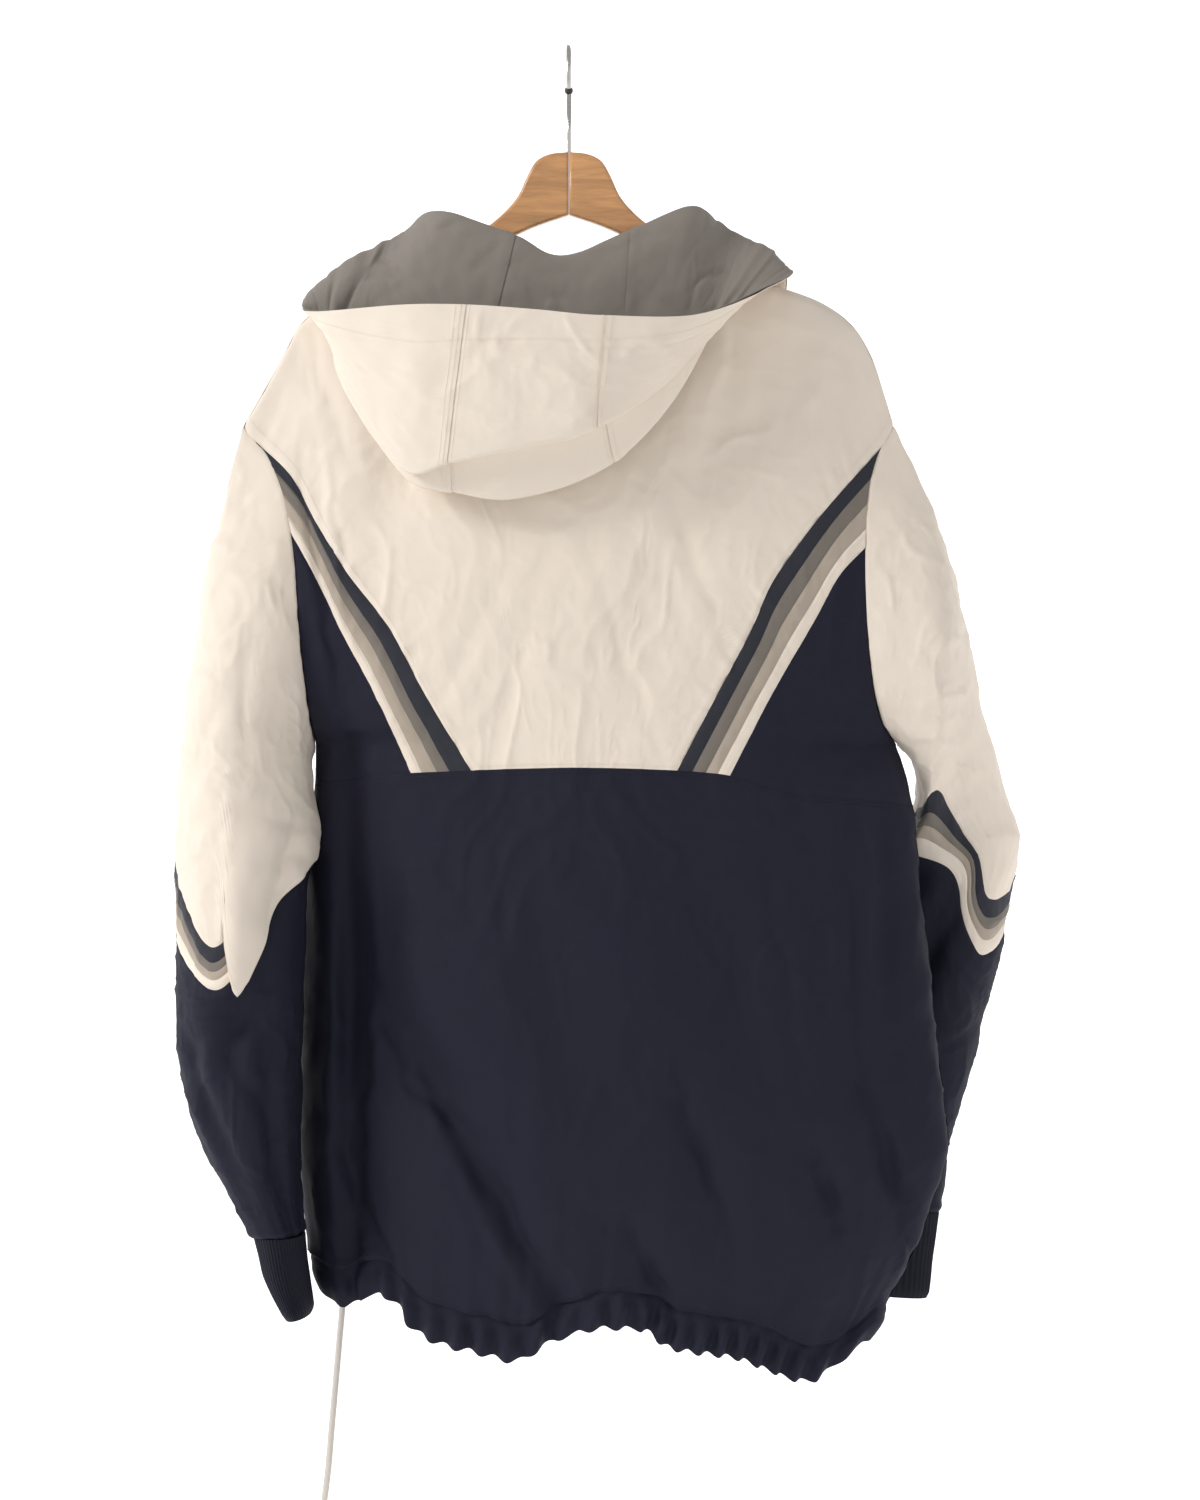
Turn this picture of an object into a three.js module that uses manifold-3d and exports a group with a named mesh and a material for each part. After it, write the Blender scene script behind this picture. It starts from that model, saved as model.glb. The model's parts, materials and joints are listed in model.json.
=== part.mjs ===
// A hooded windbreaker jacket seen from behind, hanging on a curved wooden hanger.
// Millimetres, +Z up. The jacket's back faces -Y and its zip +Y, and +X is the viewer's right.
// The origin is the inside top of the hanger's hook, where a rail or a nail holds it.
import * as THREE from "three";
import { mergeVertices } from "three/addons/utils/BufferGeometryUtils.js";
import Module from "manifold-3d";

const wasm = await Module();
wasm.setup();

// Driving sizes
const CLOTH = 1.2; // wall of the woven cloth
const RIB_CLOTH = 2; // wall of the knitted cuffs
const SEAM_HALF = 0.15; // each piece stops this far short of its seam
const CREST_ROUND = 6; // height over which the cloth rounds over the shoulder
const HEM_HEIGHT = 26; // drawstring casing
const HEM_WAVE = 3.2; // gathers of the casing
const ZIP_GAP = 5; // half of the space between the two fronts
const ZIP_TAPE = 14; // half of the zip's whole width
const ARM_THICK = 12; // wooden hanger, front to back
const WIRE = 2; // radius of the hook's wire
const CORD_RADIUS = 2.5;

const TIP_Z = -281; // the armhole's top, past the hanger's end
const UNDERARM_Z = -522;

// Heights of the body, top to bottom: its two edges, how far the back and front stand out from the
// middle, half the thickness at the edge, and where the edges lie front to back.
const BODY = [
  { z: -150, left: -88, right: 88, back: 12, front: 12, side: 8.5, yLeft: 0, yRight: 0, round: 1 },
  { z: -158, left: -106, right: 106, back: 13, front: 13, side: 8.5, yLeft: 0, yRight: 0, round: 1 },
  { z: -172, left: -142, right: 141, back: 15, front: 16, side: 8.5, yLeft: 0, yRight: 0, round: 1 },
  { z: -188, left: -179, right: 186, back: 18, front: 19, side: 8.5, yLeft: 0, yRight: 0, round: 1 },
  { z: -206, left: -202, right: 212, back: 22, front: 22, side: 8.5, yLeft: 0, yRight: 0, round: 1 },
  { z: -230, left: -215, right: 227, back: 27, front: 27, side: 8.5, yLeft: 0, yRight: 0, round: 1 },
  { z: -257, left: -230, right: 236, back: 34, front: 33, side: 8, yLeft: 0, yRight: 0, round: 1 },
  { z: -281, left: -244, right: 243, back: 39, front: 38, side: 7, yLeft: 0, yRight: 0, round: 1 },
  { z: -304, left: -226, right: 231, back: 44, front: 42, side: 14, yLeft: 0, yRight: 0, round: 1 },
  { z: -334, left: -213, right: 223, back: 49, front: 47, side: 24, yLeft: 0, yRight: 0, round: 1 },
  { z: -379, left: -204, right: 220, back: 56, front: 53, side: 34, yLeft: 0, yRight: 0, round: 1 },
  { z: -430, left: -200, right: 221, back: 62, front: 58, side: 39, yLeft: 0, yRight: 0, round: 1 },
  { z: -478, left: -195, right: 226, back: 67, front: 62, side: 35, yLeft: 0, yRight: 0, round: 0.9 },
  { z: -506, left: -192, right: 234, back: 70, front: 65, side: 22, yLeft: 0, yRight: -2, round: 0.75 },
  { z: -522, left: -190, right: 246, back: 71, front: 66, side: 0, yLeft: 0, yRight: -4, round: 0.62 },
  { z: -562, left: -192, right: 257, back: 75, front: 69, side: 0, yLeft: 14, yRight: -10, round: 0.5 },
  { z: -638, left: -204, right: 263, back: 81, front: 74, side: 0, yLeft: 38, yRight: -22, round: 0.5 },
  { z: -712, left: -206, right: 271, back: 86, front: 79, side: 0, yLeft: 42, yRight: -30, round: 0.5 },
  { z: -788, left: -206, right: 279, back: 88, front: 82, side: 0, yLeft: 42, yRight: -32, round: 0.5 },
  { z: -820, left: -206, right: 282, back: 87, front: 81, side: 0, yLeft: 40, yRight: -30, round: 0.5 },
  { z: -862, left: -201, right: 271, back: 82, front: 77, side: 0, yLeft: 34, yRight: -25, round: 0.5 },
  { z: -900, left: -194, right: 259, back: 74, front: 71, side: 0, yLeft: 20, yRight: -16, round: 0.5 },
  { z: -932, left: -189, right: 243, back: 66, front: 64, side: 0, yLeft: 0, yRight: -8, round: 0.5 },
  { z: -966, left: -188, right: 226, back: 58, front: 57, side: 0, yLeft: 0, yRight: -2, round: 0.5 },
  { z: -1000, left: -186, right: 212, back: 54, front: 54, side: 0, yLeft: 0, yRight: 0, round: 0.5 },
];

// Creases of the body: a trough or ridge along a line, with its half width and its depth (minus is a ridge).
const BACK_FOLDS = [
  { x0: -190, z0: -345, x1: -172, z1: -470, wide: 9, deep: 9 },
  { x0: -163, z0: -575, x1: -160, z1: -905, wide: 13, deep: 20 },
  { x0: -176, z0: -600, x1: -178, z1: -900, wide: 9, deep: -7 },
  { x0: -132, z0: -590, x1: -128, z1: -720, wide: 12, deep: 8 },
  { x0: -139, z0: -705, x1: -72, z1: -806, wide: 16, deep: 8 },
  { x0: -166, z0: -820, x1: -128, z1: -915, wide: 14, deep: 8 },
  { x0: -84, z0: -790, x1: -8, z1: -930, wide: 16, deep: 11 },
  { x0: 50, z0: -884, x1: 74, z1: -940, wide: 15, deep: 8 },
  { x0: 88, z0: -786, x1: 112, z1: -862, wide: 16, deep: 7 },
  { x0: 184, z0: -826, x1: 196, z1: -873, wide: 14, deep: 8 },
  { x0: 222, z0: -780, x1: 250, z1: -890, wide: 14, deep: 9 },
  { x0: 232, z0: -600, x1: 240, z1: -740, wide: 13, deep: 7 },
  { x0: -30, z0: -600, x1: 4, z1: -760, wide: 30, deep: 5 },
  { x0: 90, z0: -600, x1: 130, z1: -740, wide: 28, deep: 5 },
  { x0: -120, z0: -250, x1: -150, z1: -400, wide: 22, deep: 4 },
  { x0: 120, z0: -300, x1: 60, z1: -430, wide: 24, deep: 4 },
];
const FRONT_FOLDS = [
  { x0: -120, z0: -560, x1: -110, z1: -900, wide: 20, deep: 10 },
  { x0: -60, z0: -640, x1: -55, z1: -900, wide: 18, deep: 8 },
  { x0: 70, z0: -600, x1: 60, z1: -900, wide: 20, deep: 10 },
  { x0: 140, z0: -620, x1: 120, z1: -920, wide: 22, deep: 9 },
  { x0: -150, z0: -320, x1: -100, z1: -450, wide: 22, deep: 5 },
  { x0: 150, z0: -320, x1: 100, z1: -450, wide: 22, deep: 5 },
];

// The back's level seam, and the hem's lower edge behind and in front.
const BACK_SEAM = [
  { x: -192, z: -549 },
  { x: -116, z: -542 },
  { x: 0, z: -538 },
  { x: 80, z: -540 },
  { x: 119, z: -544 },
  { x: 163, z: -556 },
  { x: 224, z: -562 },
  { x: 262, z: -566 },
];
const HEM_BACK = [
  { x: -192, z: -930 },
  { x: -172, z: -939 },
  { x: -150, z: -930 },
  { x: -138, z: -930 },
  { x: -112, z: -956 },
  { x: -60, z: -970 },
  { x: -35, z: -974 },
  { x: -14, z: -962 },
  { x: 18, z: -950 },
  { x: 58, z: -952 },
  { x: 78, z: -964 },
  { x: 134, z: -973 },
  { x: 160, z: -982 },
  { x: 190, z: -992 },
  { x: 208, z: -990 },
  { x: 232, z: -966 },
];
const HEM_FRONT = [
  { x: -192, z: -930 },
  { x: -120, z: -940 },
  { x: 0, z: -950 },
  { x: 120, z: -960 },
  { x: 232, z: -966 },
];

// The four stripes run from the armhole to the level seam between these two edges.
const STRIPES = {
  left: {
    upper: [[-229, -295], [-204, -320], [-185, -356], [-163, -393], [-132, -435], [-106, -484], [-72, -541.7]],
    lower: [[-207, -364], [-188, -397], [-171, -432], [-142, -486], [-116, -542]],
    shares: [0, 0.34, 0.57, 0.815, 1],
    armhole: [-295, -316, -334.5, -351, -364],
    seam: [-72, -88, -97, -108, -116],
  },
  right: {
    upper: [
      [232.5, -298.5], [190, -346.5], [169.5, -373], [148, -405], [136, -433.5], [109.5, -484],
      [80, -540],
    ],
    lower: [[220, -375], [201, -395], [182, -429], [148, -487.5], [118.5, -544]],
    shares: [0, 0.3, 0.56, 0.8, 1],
    armhole: [-298.5, -322.5, -342, -361, -375],
    seam: [80, 91, 101, 109.5, 118.5],
  },
};
const STRIPE_NAMES = ["dark", "grey", "light", "white"];

// Sections of a sleeve from armhole to cuff: the outer and inner points of the flattened tube, and half
// its depth across them.
const SLEEVES = {
  left: [
    { s: 0, outer: [-244, 0, -281], inner: [-190, 0, -522], half: 34 },
    { s: 0.1, outer: [-262, -4, -352], inner: [-193, -2, -532], half: 48 },
    { s: 0.2, outer: [-275, -10, -428], inner: [-193, -10, -548], half: 58 },
    { s: 0.3, outer: [-284, -16, -488], inner: [-193, -18, -568], half: 64 },
    { s: 0.42, outer: [-290, -24, -560], inner: [-193, -28, -604], half: 68 },
    { s: 0.52, outer: [-291, -30, -630], inner: [-195, -34, -650], half: 70 },
    { s: 0.6, outer: [-291, -32, -690], inner: [-197, -36, -700], half: 70 },
    { s: 0.7, outer: [-290, -32, -740], inner: [-198, -36, -745], half: 68 },
    { s: 0.8, outer: [-283, -30, -785], inner: [-199, -34, -790], half: 64 },
    { s: 0.9, outer: [-266, -28, -830], inner: [-200, -30, -835], half: 55 },
    { s: 0.96, outer: [-249, -26, -862], inner: [-199, -27, -862], half: 48 },
    { s: 1, outer: [-236, -25, -884], inner: [-197, -25, -884], half: 43 },
  ],
  right: [
    { s: 0, outer: [243, 0, -281], inner: [246, 0, -522], half: 34 },
    { s: 0.1, outer: [267, 0, -330], inner: [257, 5, -532], half: 44 },
    { s: 0.2, outer: [285, 4, -380], inner: [262, 14, -545], half: 55 },
    { s: 0.3, outer: [297, 10, -430], inner: [264, 34, -560], half: 60 },
    { s: 0.42, outer: [313, 18, -503], inner: [258, 62, -586], half: 56 },
    { s: 0.52, outer: [329, 26, -568], inner: [248, 86, -616], half: 52 },
    { s: 0.56, outer: [338, 30, -595], inner: [245, 92, -632], half: 50 },
    { s: 0.62, outer: [329, 34, -636], inner: [240, 98, -660], half: 50 },
    { s: 0.7, outer: [322, 40, -684], inner: [232, 106, -700], half: 48 },
    { s: 0.78, outer: [311, 46, -726], inner: [226, 112, -740], half: 46 },
    { s: 0.86, outer: [297, 54, -785], inner: [218, 117, -792], half: 42 },
    { s: 0.93, outer: [286, 62, -832], inner: [210, 120, -838], half: 36 },
    { s: 1, outer: [283, 72, -880], inner: [203, 120, -880], half: 27 },
  ],
};
const CUFFS = {
  left: [
    { s: 0, outer: [-234, -25, -884.4], inner: [-196.5, -25, -884.4], half: 42 },
    { s: 0.5, outer: [-226, -24, -917], inner: [-194, -24, -913], half: 41 },
    { s: 1, outer: [-211, -23, -947], inner: [-189.5, -23, -942], half: 42 },
  ],
  right: [
    { s: 0, outer: [282, 73, -880.4], inner: [204, 119, -880.4], half: 25 },
    { s: 0.5, outer: [278, 76, -914], inner: [201, 119, -912], half: 23 },
    { s: 1, outer: [275, 79, -947], inner: [198, 119, -943], half: 22 },
  ],
};
// Creases of a sleeve: place along it and round it, half lengths, depth, and how the crease turns as it falls.
const SLEEVE_FOLDS = {
  left: [
    { s: 0.46, turn: 2.35, along: 0.12, round: 0.28, deep: 12, lean: -2.4 },
    { s: 0.68, turn: 1.7, along: 0.09, round: 0.3, deep: 10, lean: -2.5 },
    { s: 0.8, turn: 1.0, along: 0.12, round: 0.25, deep: 9, lean: 2 },
    { s: 0.8, turn: 2.3, along: 0.16, round: 0.24, deep: 8, lean: 0.5 },
    { s: 0.55, turn: 4.6, along: 0.14, round: 0.4, deep: 8, lean: 1 },
    { s: 0.8, turn: 4.9, along: 0.14, round: 0.3, deep: 8, lean: -1 },
  ],
  right: [
    { s: 0.5, turn: 0.95, along: 0.14, round: 0.42, deep: 7, lean: -1.4 },
    { s: 0.42, turn: 2.5, along: 0.09, round: 0.25, deep: 8, lean: -1 },
    { s: 0.7, turn: 1.3, along: 0.1, round: 0.3, deep: 9, lean: 1.6 },
    { s: 0.82, turn: 1.9, along: 0.13, round: 0.25, deep: 7, lean: 0.6 },
    { s: 0.6, turn: 4.6, along: 0.16, round: 0.4, deep: 8, lean: 1 },
  ],
};
// The sleeve's chevron round the tube: where its upper edge lies along the sleeve, and its width there.
const CHEVRONS = {
  left: [
    { turn: -1.87, s: 0.36, wide: 0.06 },
    { turn: 0, s: 0.472, wide: 0.066 },
    { turn: 0.6, s: 0.516, wide: 0.057 },
    { turn: 1.27, s: 0.562, wide: 0.048 },
    { turn: 1.62, s: 0.545, wide: 0.05 },
    { turn: 2.2, s: 0.46, wide: 0.055 },
    { turn: 3.14, s: 0.355, wide: 0.058 },
    { turn: 4.41, s: 0.36, wide: 0.06 },
  ],
  right: [
    { turn: -0.35, s: 0.617, wide: 0.055 },
    { turn: 0.3, s: 0.618, wide: 0.072 },
    { turn: 0.6, s: 0.58, wide: 0.076 },
    { turn: 0.9, s: 0.505, wide: 0.09 },
    { turn: 1.57, s: 0.405, wide: 0.115 },
    { turn: 2.4, s: 0.37, wide: 0.085 },
    { turn: 3.4, s: 0.375, wide: 0.06 },
    { turn: 4.6, s: 0.47, wide: 0.055 },
    { turn: 5.933, s: 0.617, wide: 0.055 },
  ],
};
const CHEVRON_SHARES = [0, 0.32, 0.52, 0.72, 1];

// Profiles of the hood round the neck, from one end of the zip to the other. Each is drawn in x and z from
// the neck seam over the ridge, down to the pouch's bottom, and up by the tuck's lower edge to the opening.
// "lift" holds back the pouch's distance from the jacket, and "y" is given only where it stands clear.
const HOOD = [
  { u: 0, neck: [-5, 36, -240], ridge: [-10, 41, -236], bottom: [-15, 44, -239], fold: [-20, 46, -243], band: [-26, 47, -249] },
  { u: 0.1, neck: [-38, 30, -222], ridge: [-52, 36, -186], bottom: [-72, 42, -190], fold: [-92, 44, -206], band: [-108, 43, -228] },
  { u: 0.2, neck: [-78, 20, -192], ridge: [-94, 22, -140], bottom: [-124, 27, -152], fold: [-150, 28, -171], band: [-168, 28, -196] },
  { u: 0.235, neck: [-94, 12, -176], ridge: [-102, 10, -131], bottom: [-136, 9, -147], fold: [-165, 10, -162], band: [-188, 9, -181] },
  { u: 0.27, neck: [-106, 0, -157], ridge: [-107, -2, -124], bottom: [-142, -6, -149], fold: [-174, -9, -169], band: [-198, -12, -190] },
  { u: 0.34, neck: [-88, -11, -165], ridge: [-90, -22, -125], bottom: [-171, -34, -236], fold: [-173, -42, -233], band: [-186, -47, -201] },
  { u: 0.385, neck: [-66, -13, -170], ridge: [-66, -26, -134], bottom: [-120, -66, -321], fold: [-122, -78, -317], band: [-118, -82, -200] },
  { u: 0.42, neck: [-47, -14, -173], ridge: [-40, -28, -144], bottom: [-84, -70, -334], fold: [-88, -88, -314], band: [-74, -90, -201] },
  { u: 0.5, neck: [0, -15, -175], ridge: [-6, -30, -160], bottom: [-35, -70, -339], fold: [-32, -92, -301], band: [-22, -94, -205] },
  { u: 0.58, neck: [47, -14, -173], ridge: [46, -28, -140], bottom: [34, -65, -312], fold: [21, -91, -288], band: [28, -92, -209] },
  { u: 0.64, neck: [76, -12, -168], ridge: [90, -23, -121], bottom: [84, -52, -255], fold: [76, -66, -251], band: [96, -78, -206] },
  { u: 0.73, neck: [106, 0, -157], ridge: [108, -2, -130], bottom: [132, -14, -148], fold: [150, -22, -158], band: [164, -28, -173] },
  { u: 0.765, neck: [94, 12, -176], ridge: [103, 9, -134], bottom: [130, 5, -147], fold: [150, 2, -156], band: [164, 0, -167] },
  { u: 0.8, neck: [78, 20, -192], ridge: [94, 20, -140], bottom: [122, 24, -152], fold: [146, 28, -170], band: [160, 30, -190] },
  { u: 0.9, neck: [38, 30, -222], ridge: [52, 36, -186], bottom: [72, 42, -190], fold: [92, 44, -206], band: [108, 43, -228] },
  { u: 1, neck: [5, 36, -240], ridge: [10, 41, -236], bottom: [15, 44, -239], fold: [20, 46, -243], band: [26, 47, -249] },
];

// The drawstring's free end: out of its eyelet in front of the hem, then straight down.
const CORD_ROUTE = [
  [-167.3, 38.2, -916], [-169.5, 42.8, -916], [-171.4, 46.4, -919.5], [-172.4, 47.6, -932], [-173.2, 48, -950],
  [-175.4, 48.5, -975], [-178, 47.5, -1005], [-181, 46, -1040], [-184, 45.5, -1075], [-188, 46, -1105],
  [-192, 47, -1130],
];

const COLOURS = {
  white: 0xede0d0, navy: 0x1c1d2e, dark: 0x2b2c36, grey: 0x7b746c, light: 0xb2a698, lining: 0x90887d,
  rib: 0x1b1a27, wood: 0xd6995f, steel: 0xcabfb4, cord: 0xf1e8df, zip: 0x22222c,
};

// Plain helpers
const clamp = (x, low, high) => Math.min(high, Math.max(low, x));
const mix = (a, b, t) => a + (b - a) * t;
const mixPoint = (p, q, t) => p.map((value, axis) => mix(value, q[axis], t));
const vector = (p) => new THREE.Vector3(...p);

// Smooth value of a named column between the rows of a table ordered by its key.
function column(rows, key, name, at) {
  const rising = rows[rows.length - 1][key] > rows[0][key];
  const place = rising ? at : -at;
  const keys = rows.map((row) => (rising ? row[key] : -row[key]));
  const t = clamp(place, keys[0], keys[keys.length - 1]);
  let i = keys.findIndex((value) => value >= t);
  i = clamp(i - 1, 0, keys.length - 2);
  const share = (t - keys[i]) / (keys[i + 1] - keys[i]);
  const value = (k) => rows[clamp(k, 0, rows.length - 1)][name];
  return hermite(value, keys, i, share);
}

function hermite(value, keys, i, share) {
  const last = keys.length - 1;
  const step = keys[i + 1] - keys[i];
  const slope = (k) => {
    const before = Math.max(k - 1, 0);
    const after = Math.min(k + 1, last);
    return (value(after) - value(before)) / (keys[after] - keys[before]);
  };
  const t2 = share * share;
  const t3 = t2 * share;
  return (
    value(i) * (2 * t3 - 3 * t2 + 1) +
    slope(i) * step * (t3 - 2 * t2 + share) +
    value(i + 1) * (3 * t2 - 2 * t3) +
    slope(i + 1) * step * (t3 - t2)
  );
}

// A smooth line through points, walked by the share of its length.
function lineThrough(points) {
  const curve = new THREE.CatmullRomCurve3(points.map((p) => vector([p[0], 0, p[1]])), false, "centripetal");
  return (t) => {
    const p = curve.getPointAt(clamp(t, 0, 1));
    return [p.x, p.z];
  };
}

function foldDepth(folds, x, z) {
  let total = 0;
  for (const { x0, z0, x1, z1, wide, deep } of folds) {
    const length = Math.hypot(x1 - x0, z1 - z0);
    const along = ((x - x0) * (x1 - x0) + (z - z0) * (z1 - z0)) / length;
    const across = ((x - x0) * (z1 - z0) - (z - z0) * (x1 - x0)) / length;
    const past = Math.max(0, -along, along - length) / (0.35 * length);
    const inside = clamp(along / length, 0, 1);
    const swell = 0.35 + 0.65 * Math.sin(Math.PI * clamp(inside, 0.12, 0.88));
    total += deep * swell * Math.exp(-((across / wide) ** 2) - past * past);
  }
  return total;
}

// The body's cloth. Side -1 is the back and 1 the front; "a" runs 0 to 1 from the left edge to the right.
const bodyEdge = (name, z) => column(BODY, "z", name, z);

function bodyShare(x, z) {
  const left = bodyEdge("left", z);
  const right = bodyEdge("right", z);
  const f = clamp((x - left) / (right - left), 0, 1);
  return Math.acos(1 - 2 * f) / Math.PI;
}

// Height of the shoulder's crest over x; above the neck it is out of reach.
function crestZ(x) {
  if (Math.abs(x) < 88) return -140;
  const rows = BODY.filter((row) => row.z >= TIP_Z);
  const name = x < 0 ? "left" : "right";
  const table = rows.map((row) => ({ x: Math.abs(row[name]), z: row.z }));
  return column(table, "x", "z", Math.abs(x));
}

function bodyAt(side, a, z) {
  const left = bodyEdge("left", z);
  const right = bodyEdge("right", z);
  const f = (1 - Math.cos(Math.PI * a)) / 2;
  const x = mix(left, right, f);
  const edgeY = mix(bodyEdge("yLeft", z), bodyEdge("yRight", z), f);
  const edge = Math.max(0, bodyEdge("side", z));
  const out = bodyEdge(side < 0 ? "back" : "front", z);
  const swell = Math.sin(Math.PI * a) ** (2 * bodyEdge("round", z));
  const below = clamp((crestZ(x) - z) / CREST_ROUND, 0, 1);
  const crest = z > TIP_Z - 1 ? Math.sqrt(1 - (1 - below) ** 2) : 1;
  const folds = foldDepth(side < 0 ? BACK_FOLDS : FRONT_FOLDS, x, z);
  const reach = edge + (out - side * edgeY - edge) * swell;
  const calm = clamp(swell * 1.6, 0, 1) * crest;
  return [x, edgeY + side * (crest * reach - calm * folds), z];
}

function bodyPoint(side, x, z) {
  return bodyAt(side, bodyShare(x, z), z);
}

function bodyNormal(side, x, z) {
  const a = clamp(bodyShare(x, z), 0.02, 0.98);
  const across = vector(bodyAt(side, a + 0.01, z)).sub(vector(bodyAt(side, a - 0.01, z)));
  const down = vector(bodyAt(side, a, z - 2)).sub(vector(bodyAt(side, a, z)));
  const normal = down.cross(across).normalize();
  if (normal.y * side < 0) normal.negate();
  return normal;
}

// Builds a closed wall from a grid of outer points and normals; it drops triangles that have no area.
function wallGeometry(points, normals, thick, wrapped) {
  const rows = points.length;
  const columns = points[0].length;
  const inner = points.map((row, i) => row.map((p, j) => p.clone().addScaledVector(normals[i][j], -thick)));
  const positions = [];
  const lookup = new Map();
  const indexOf = (p) => {
    const key = [p.x, p.y, p.z].map((c) => Math.round(c * 500)).join();
    if (!lookup.has(key)) {
      lookup.set(key, positions.length / 3);
      positions.push(p.x, p.y, p.z);
    }
    return lookup.get(key);
  };
  const outerIds = points.map((row) => row.map(indexOf));
  const innerIds = inner.map((row) => row.map(indexOf));
  const index = [];
  const triangle = (a, b, c) => {
    if (a !== b && b !== c && c !== a) index.push(a, b, c);
  };
  const quad = (a, b, c, d) => {
    triangle(a, b, c);
    triangle(a, c, d);
  };
  const lastColumn = wrapped ? columns : columns - 1;
  for (let i = 0; i < rows - 1; i++) {
    for (let j = 0; j < lastColumn; j++) {
      const k = (j + 1) % columns;
      quad(outerIds[i][j], outerIds[i][k], outerIds[i + 1][k], outerIds[i + 1][j]);
      quad(innerIds[i][j], innerIds[i + 1][j], innerIds[i + 1][k], innerIds[i][k]);
    }
  }
  for (let j = 0; j < lastColumn; j++) {
    const k = (j + 1) % columns;
    const end = rows - 1;
    quad(outerIds[0][j], innerIds[0][j], innerIds[0][k], outerIds[0][k]);
    quad(outerIds[end][j], outerIds[end][k], innerIds[end][k], innerIds[end][j]);
  }
  if (!wrapped) {
    const end = columns - 1;
    for (let i = 0; i < rows - 1; i++) {
      quad(outerIds[i][0], outerIds[i + 1][0], innerIds[i + 1][0], innerIds[i][0]);
      quad(outerIds[i][end], innerIds[i][end], innerIds[i + 1][end], outerIds[i + 1][end]);
    }
  }
  return facingOut(positions, index);
}

function facingOut(positions, index) {
  let volume = 0;
  const at = (i) => new THREE.Vector3().fromArray(positions, 3 * i);
  for (let i = 0; i < index.length; i += 3) {
    volume += at(index[i]).dot(at(index[i + 1]).cross(at(index[i + 2])));
  }
  if (volume < 0) index.reverse();
  const geometry = new THREE.BufferGeometry();
  geometry.setAttribute("position", new THREE.Float32BufferAttribute(positions, 3));
  geometry.setIndex(index);
  geometry.computeVertexNormals();
  return geometry;
}

// Draws the edge points of a grid in from the seams by half of the sewn gap, along the cloth.
function drawIn(points, normals, edges, amount = SEAM_HALF) {
  const rows = points.length;
  const columns = points[0].length;
  const pull = (i, j, k, l) => {
    const way = points[k][l].clone().sub(points[i][j]);
    way.addScaledVector(normals[i][j], -way.dot(normals[i][j]));
    if (way.length() > 1e-6) points[i][j].addScaledVector(way.normalize(), amount);
  };
  for (let j = 0; j < columns; j++) {
    if (edges.includes("top")) pull(0, j, 1, j);
    if (edges.includes("bottom")) pull(rows - 1, j, rows - 2, j);
  }
  for (let i = 0; i < rows; i++) {
    if (edges.includes("left")) pull(i, 0, i, 1);
    if (edges.includes("right")) pull(i, columns - 1, i, columns - 2);
  }
}

const jacket = new THREE.Group();

function add(name, geometry, colour) {
  const material = new THREE.MeshStandardMaterial({ color: COLOURS[colour], roughness: 0.8, metalness: 0 });
  if (colour === "steel") Object.assign(material, { roughness: 0.3, metalness: 1 });
  if (colour === "wood") material.roughness = 0.5;
  const mesh = new THREE.Mesh(geometry, material);
  mesh.name = name;
  jacket.add(mesh);
}

// A panel of the body from a grid of [x, z] places.
function bodyPanel(name, colour, side, places, edges = ["top", "bottom", "left", "right"]) {
  const points = places.map((row) => row.map(([x, z]) => vector(bodyPoint(side, x, z))));
  const normals = places.map((row) => row.map(([x, z]) => seamNormal(side, x, z)));
  drawIn(points, normals, edges);
  add(name, wallGeometry(points, normals, CLOTH, false), colour);
}

// Where back and front meet on the crest or at the side, both have the same normal.
function seamNormal(side, x, z) {
  const normal = bodyNormal(side, x, z);
  const share = bodyShare(x, z);
  const onSide = (share < 1e-3 || share > 1 - 1e-3) && z <= UNDERARM_Z + 1;
  const onCrest = z > TIP_Z - 1 && crestZ(x) - z < 0.6;
  if (onSide) return new THREE.Vector3(share < 0.5 ? -1 : 1, 0, 0);
  if (onCrest) {
    const across = vector([0.5, 0, crestZ(x + 0.5) - crestZ(x)]).normalize();
    return new THREE.Vector3(-across.z, 0, across.x);
  }
  return normal;
}

// Blends four edges, each a function of its share, into places inside them.
function patch(top, bottom, left, right, s, v) {
  const corner = (p, q, t) => mixPoint(p, q, t);
  const across = mixPoint(left(v), right(v), s);
  const down = mixPoint(top(s), bottom(s), v);
  const bilinear = corner(corner(top(0), top(1), s), corner(bottom(0), bottom(1), s), v);
  return across.map((value, axis) => value + down[axis] - bilinear[axis]);
}

const backSeamZ = (x) => column(BACK_SEAM, "x", "z", x);
const edgeX = (name, z) => bodyEdge(name, z);
const share = (count) => Array.from({ length: count + 1 }, (_, i) => i / count);

// Walks a polyline of places by share, so that finer pieces keep to a coarser piece's edge.
function along(places) {
  return (t) => {
    const at = clamp(t, 0, 1) * (places.length - 1);
    const i = Math.min(Math.floor(at), places.length - 2);
    return mixPoint(places[i], places[i + 1], at - i);
  };
}

// Steps that neighbouring pieces share, so that they meet edge to edge
const YOKE_TOP_ROWS = [0, 0.012, 0.03, 0.052];
const STRIPE_ROWS = 10;
const SIDE_ROWS_ARMHOLE = 7;
const SIDE_ROWS_BELOW = 2;
const FRONT_UPPER_HEIGHTS = [-281, -284.5, -293, -308, -328, -348, -368];
const FRONT_LOWER_ARMHOLE_ROWS = 4;
const LOWER_ROWS = 11;

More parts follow.
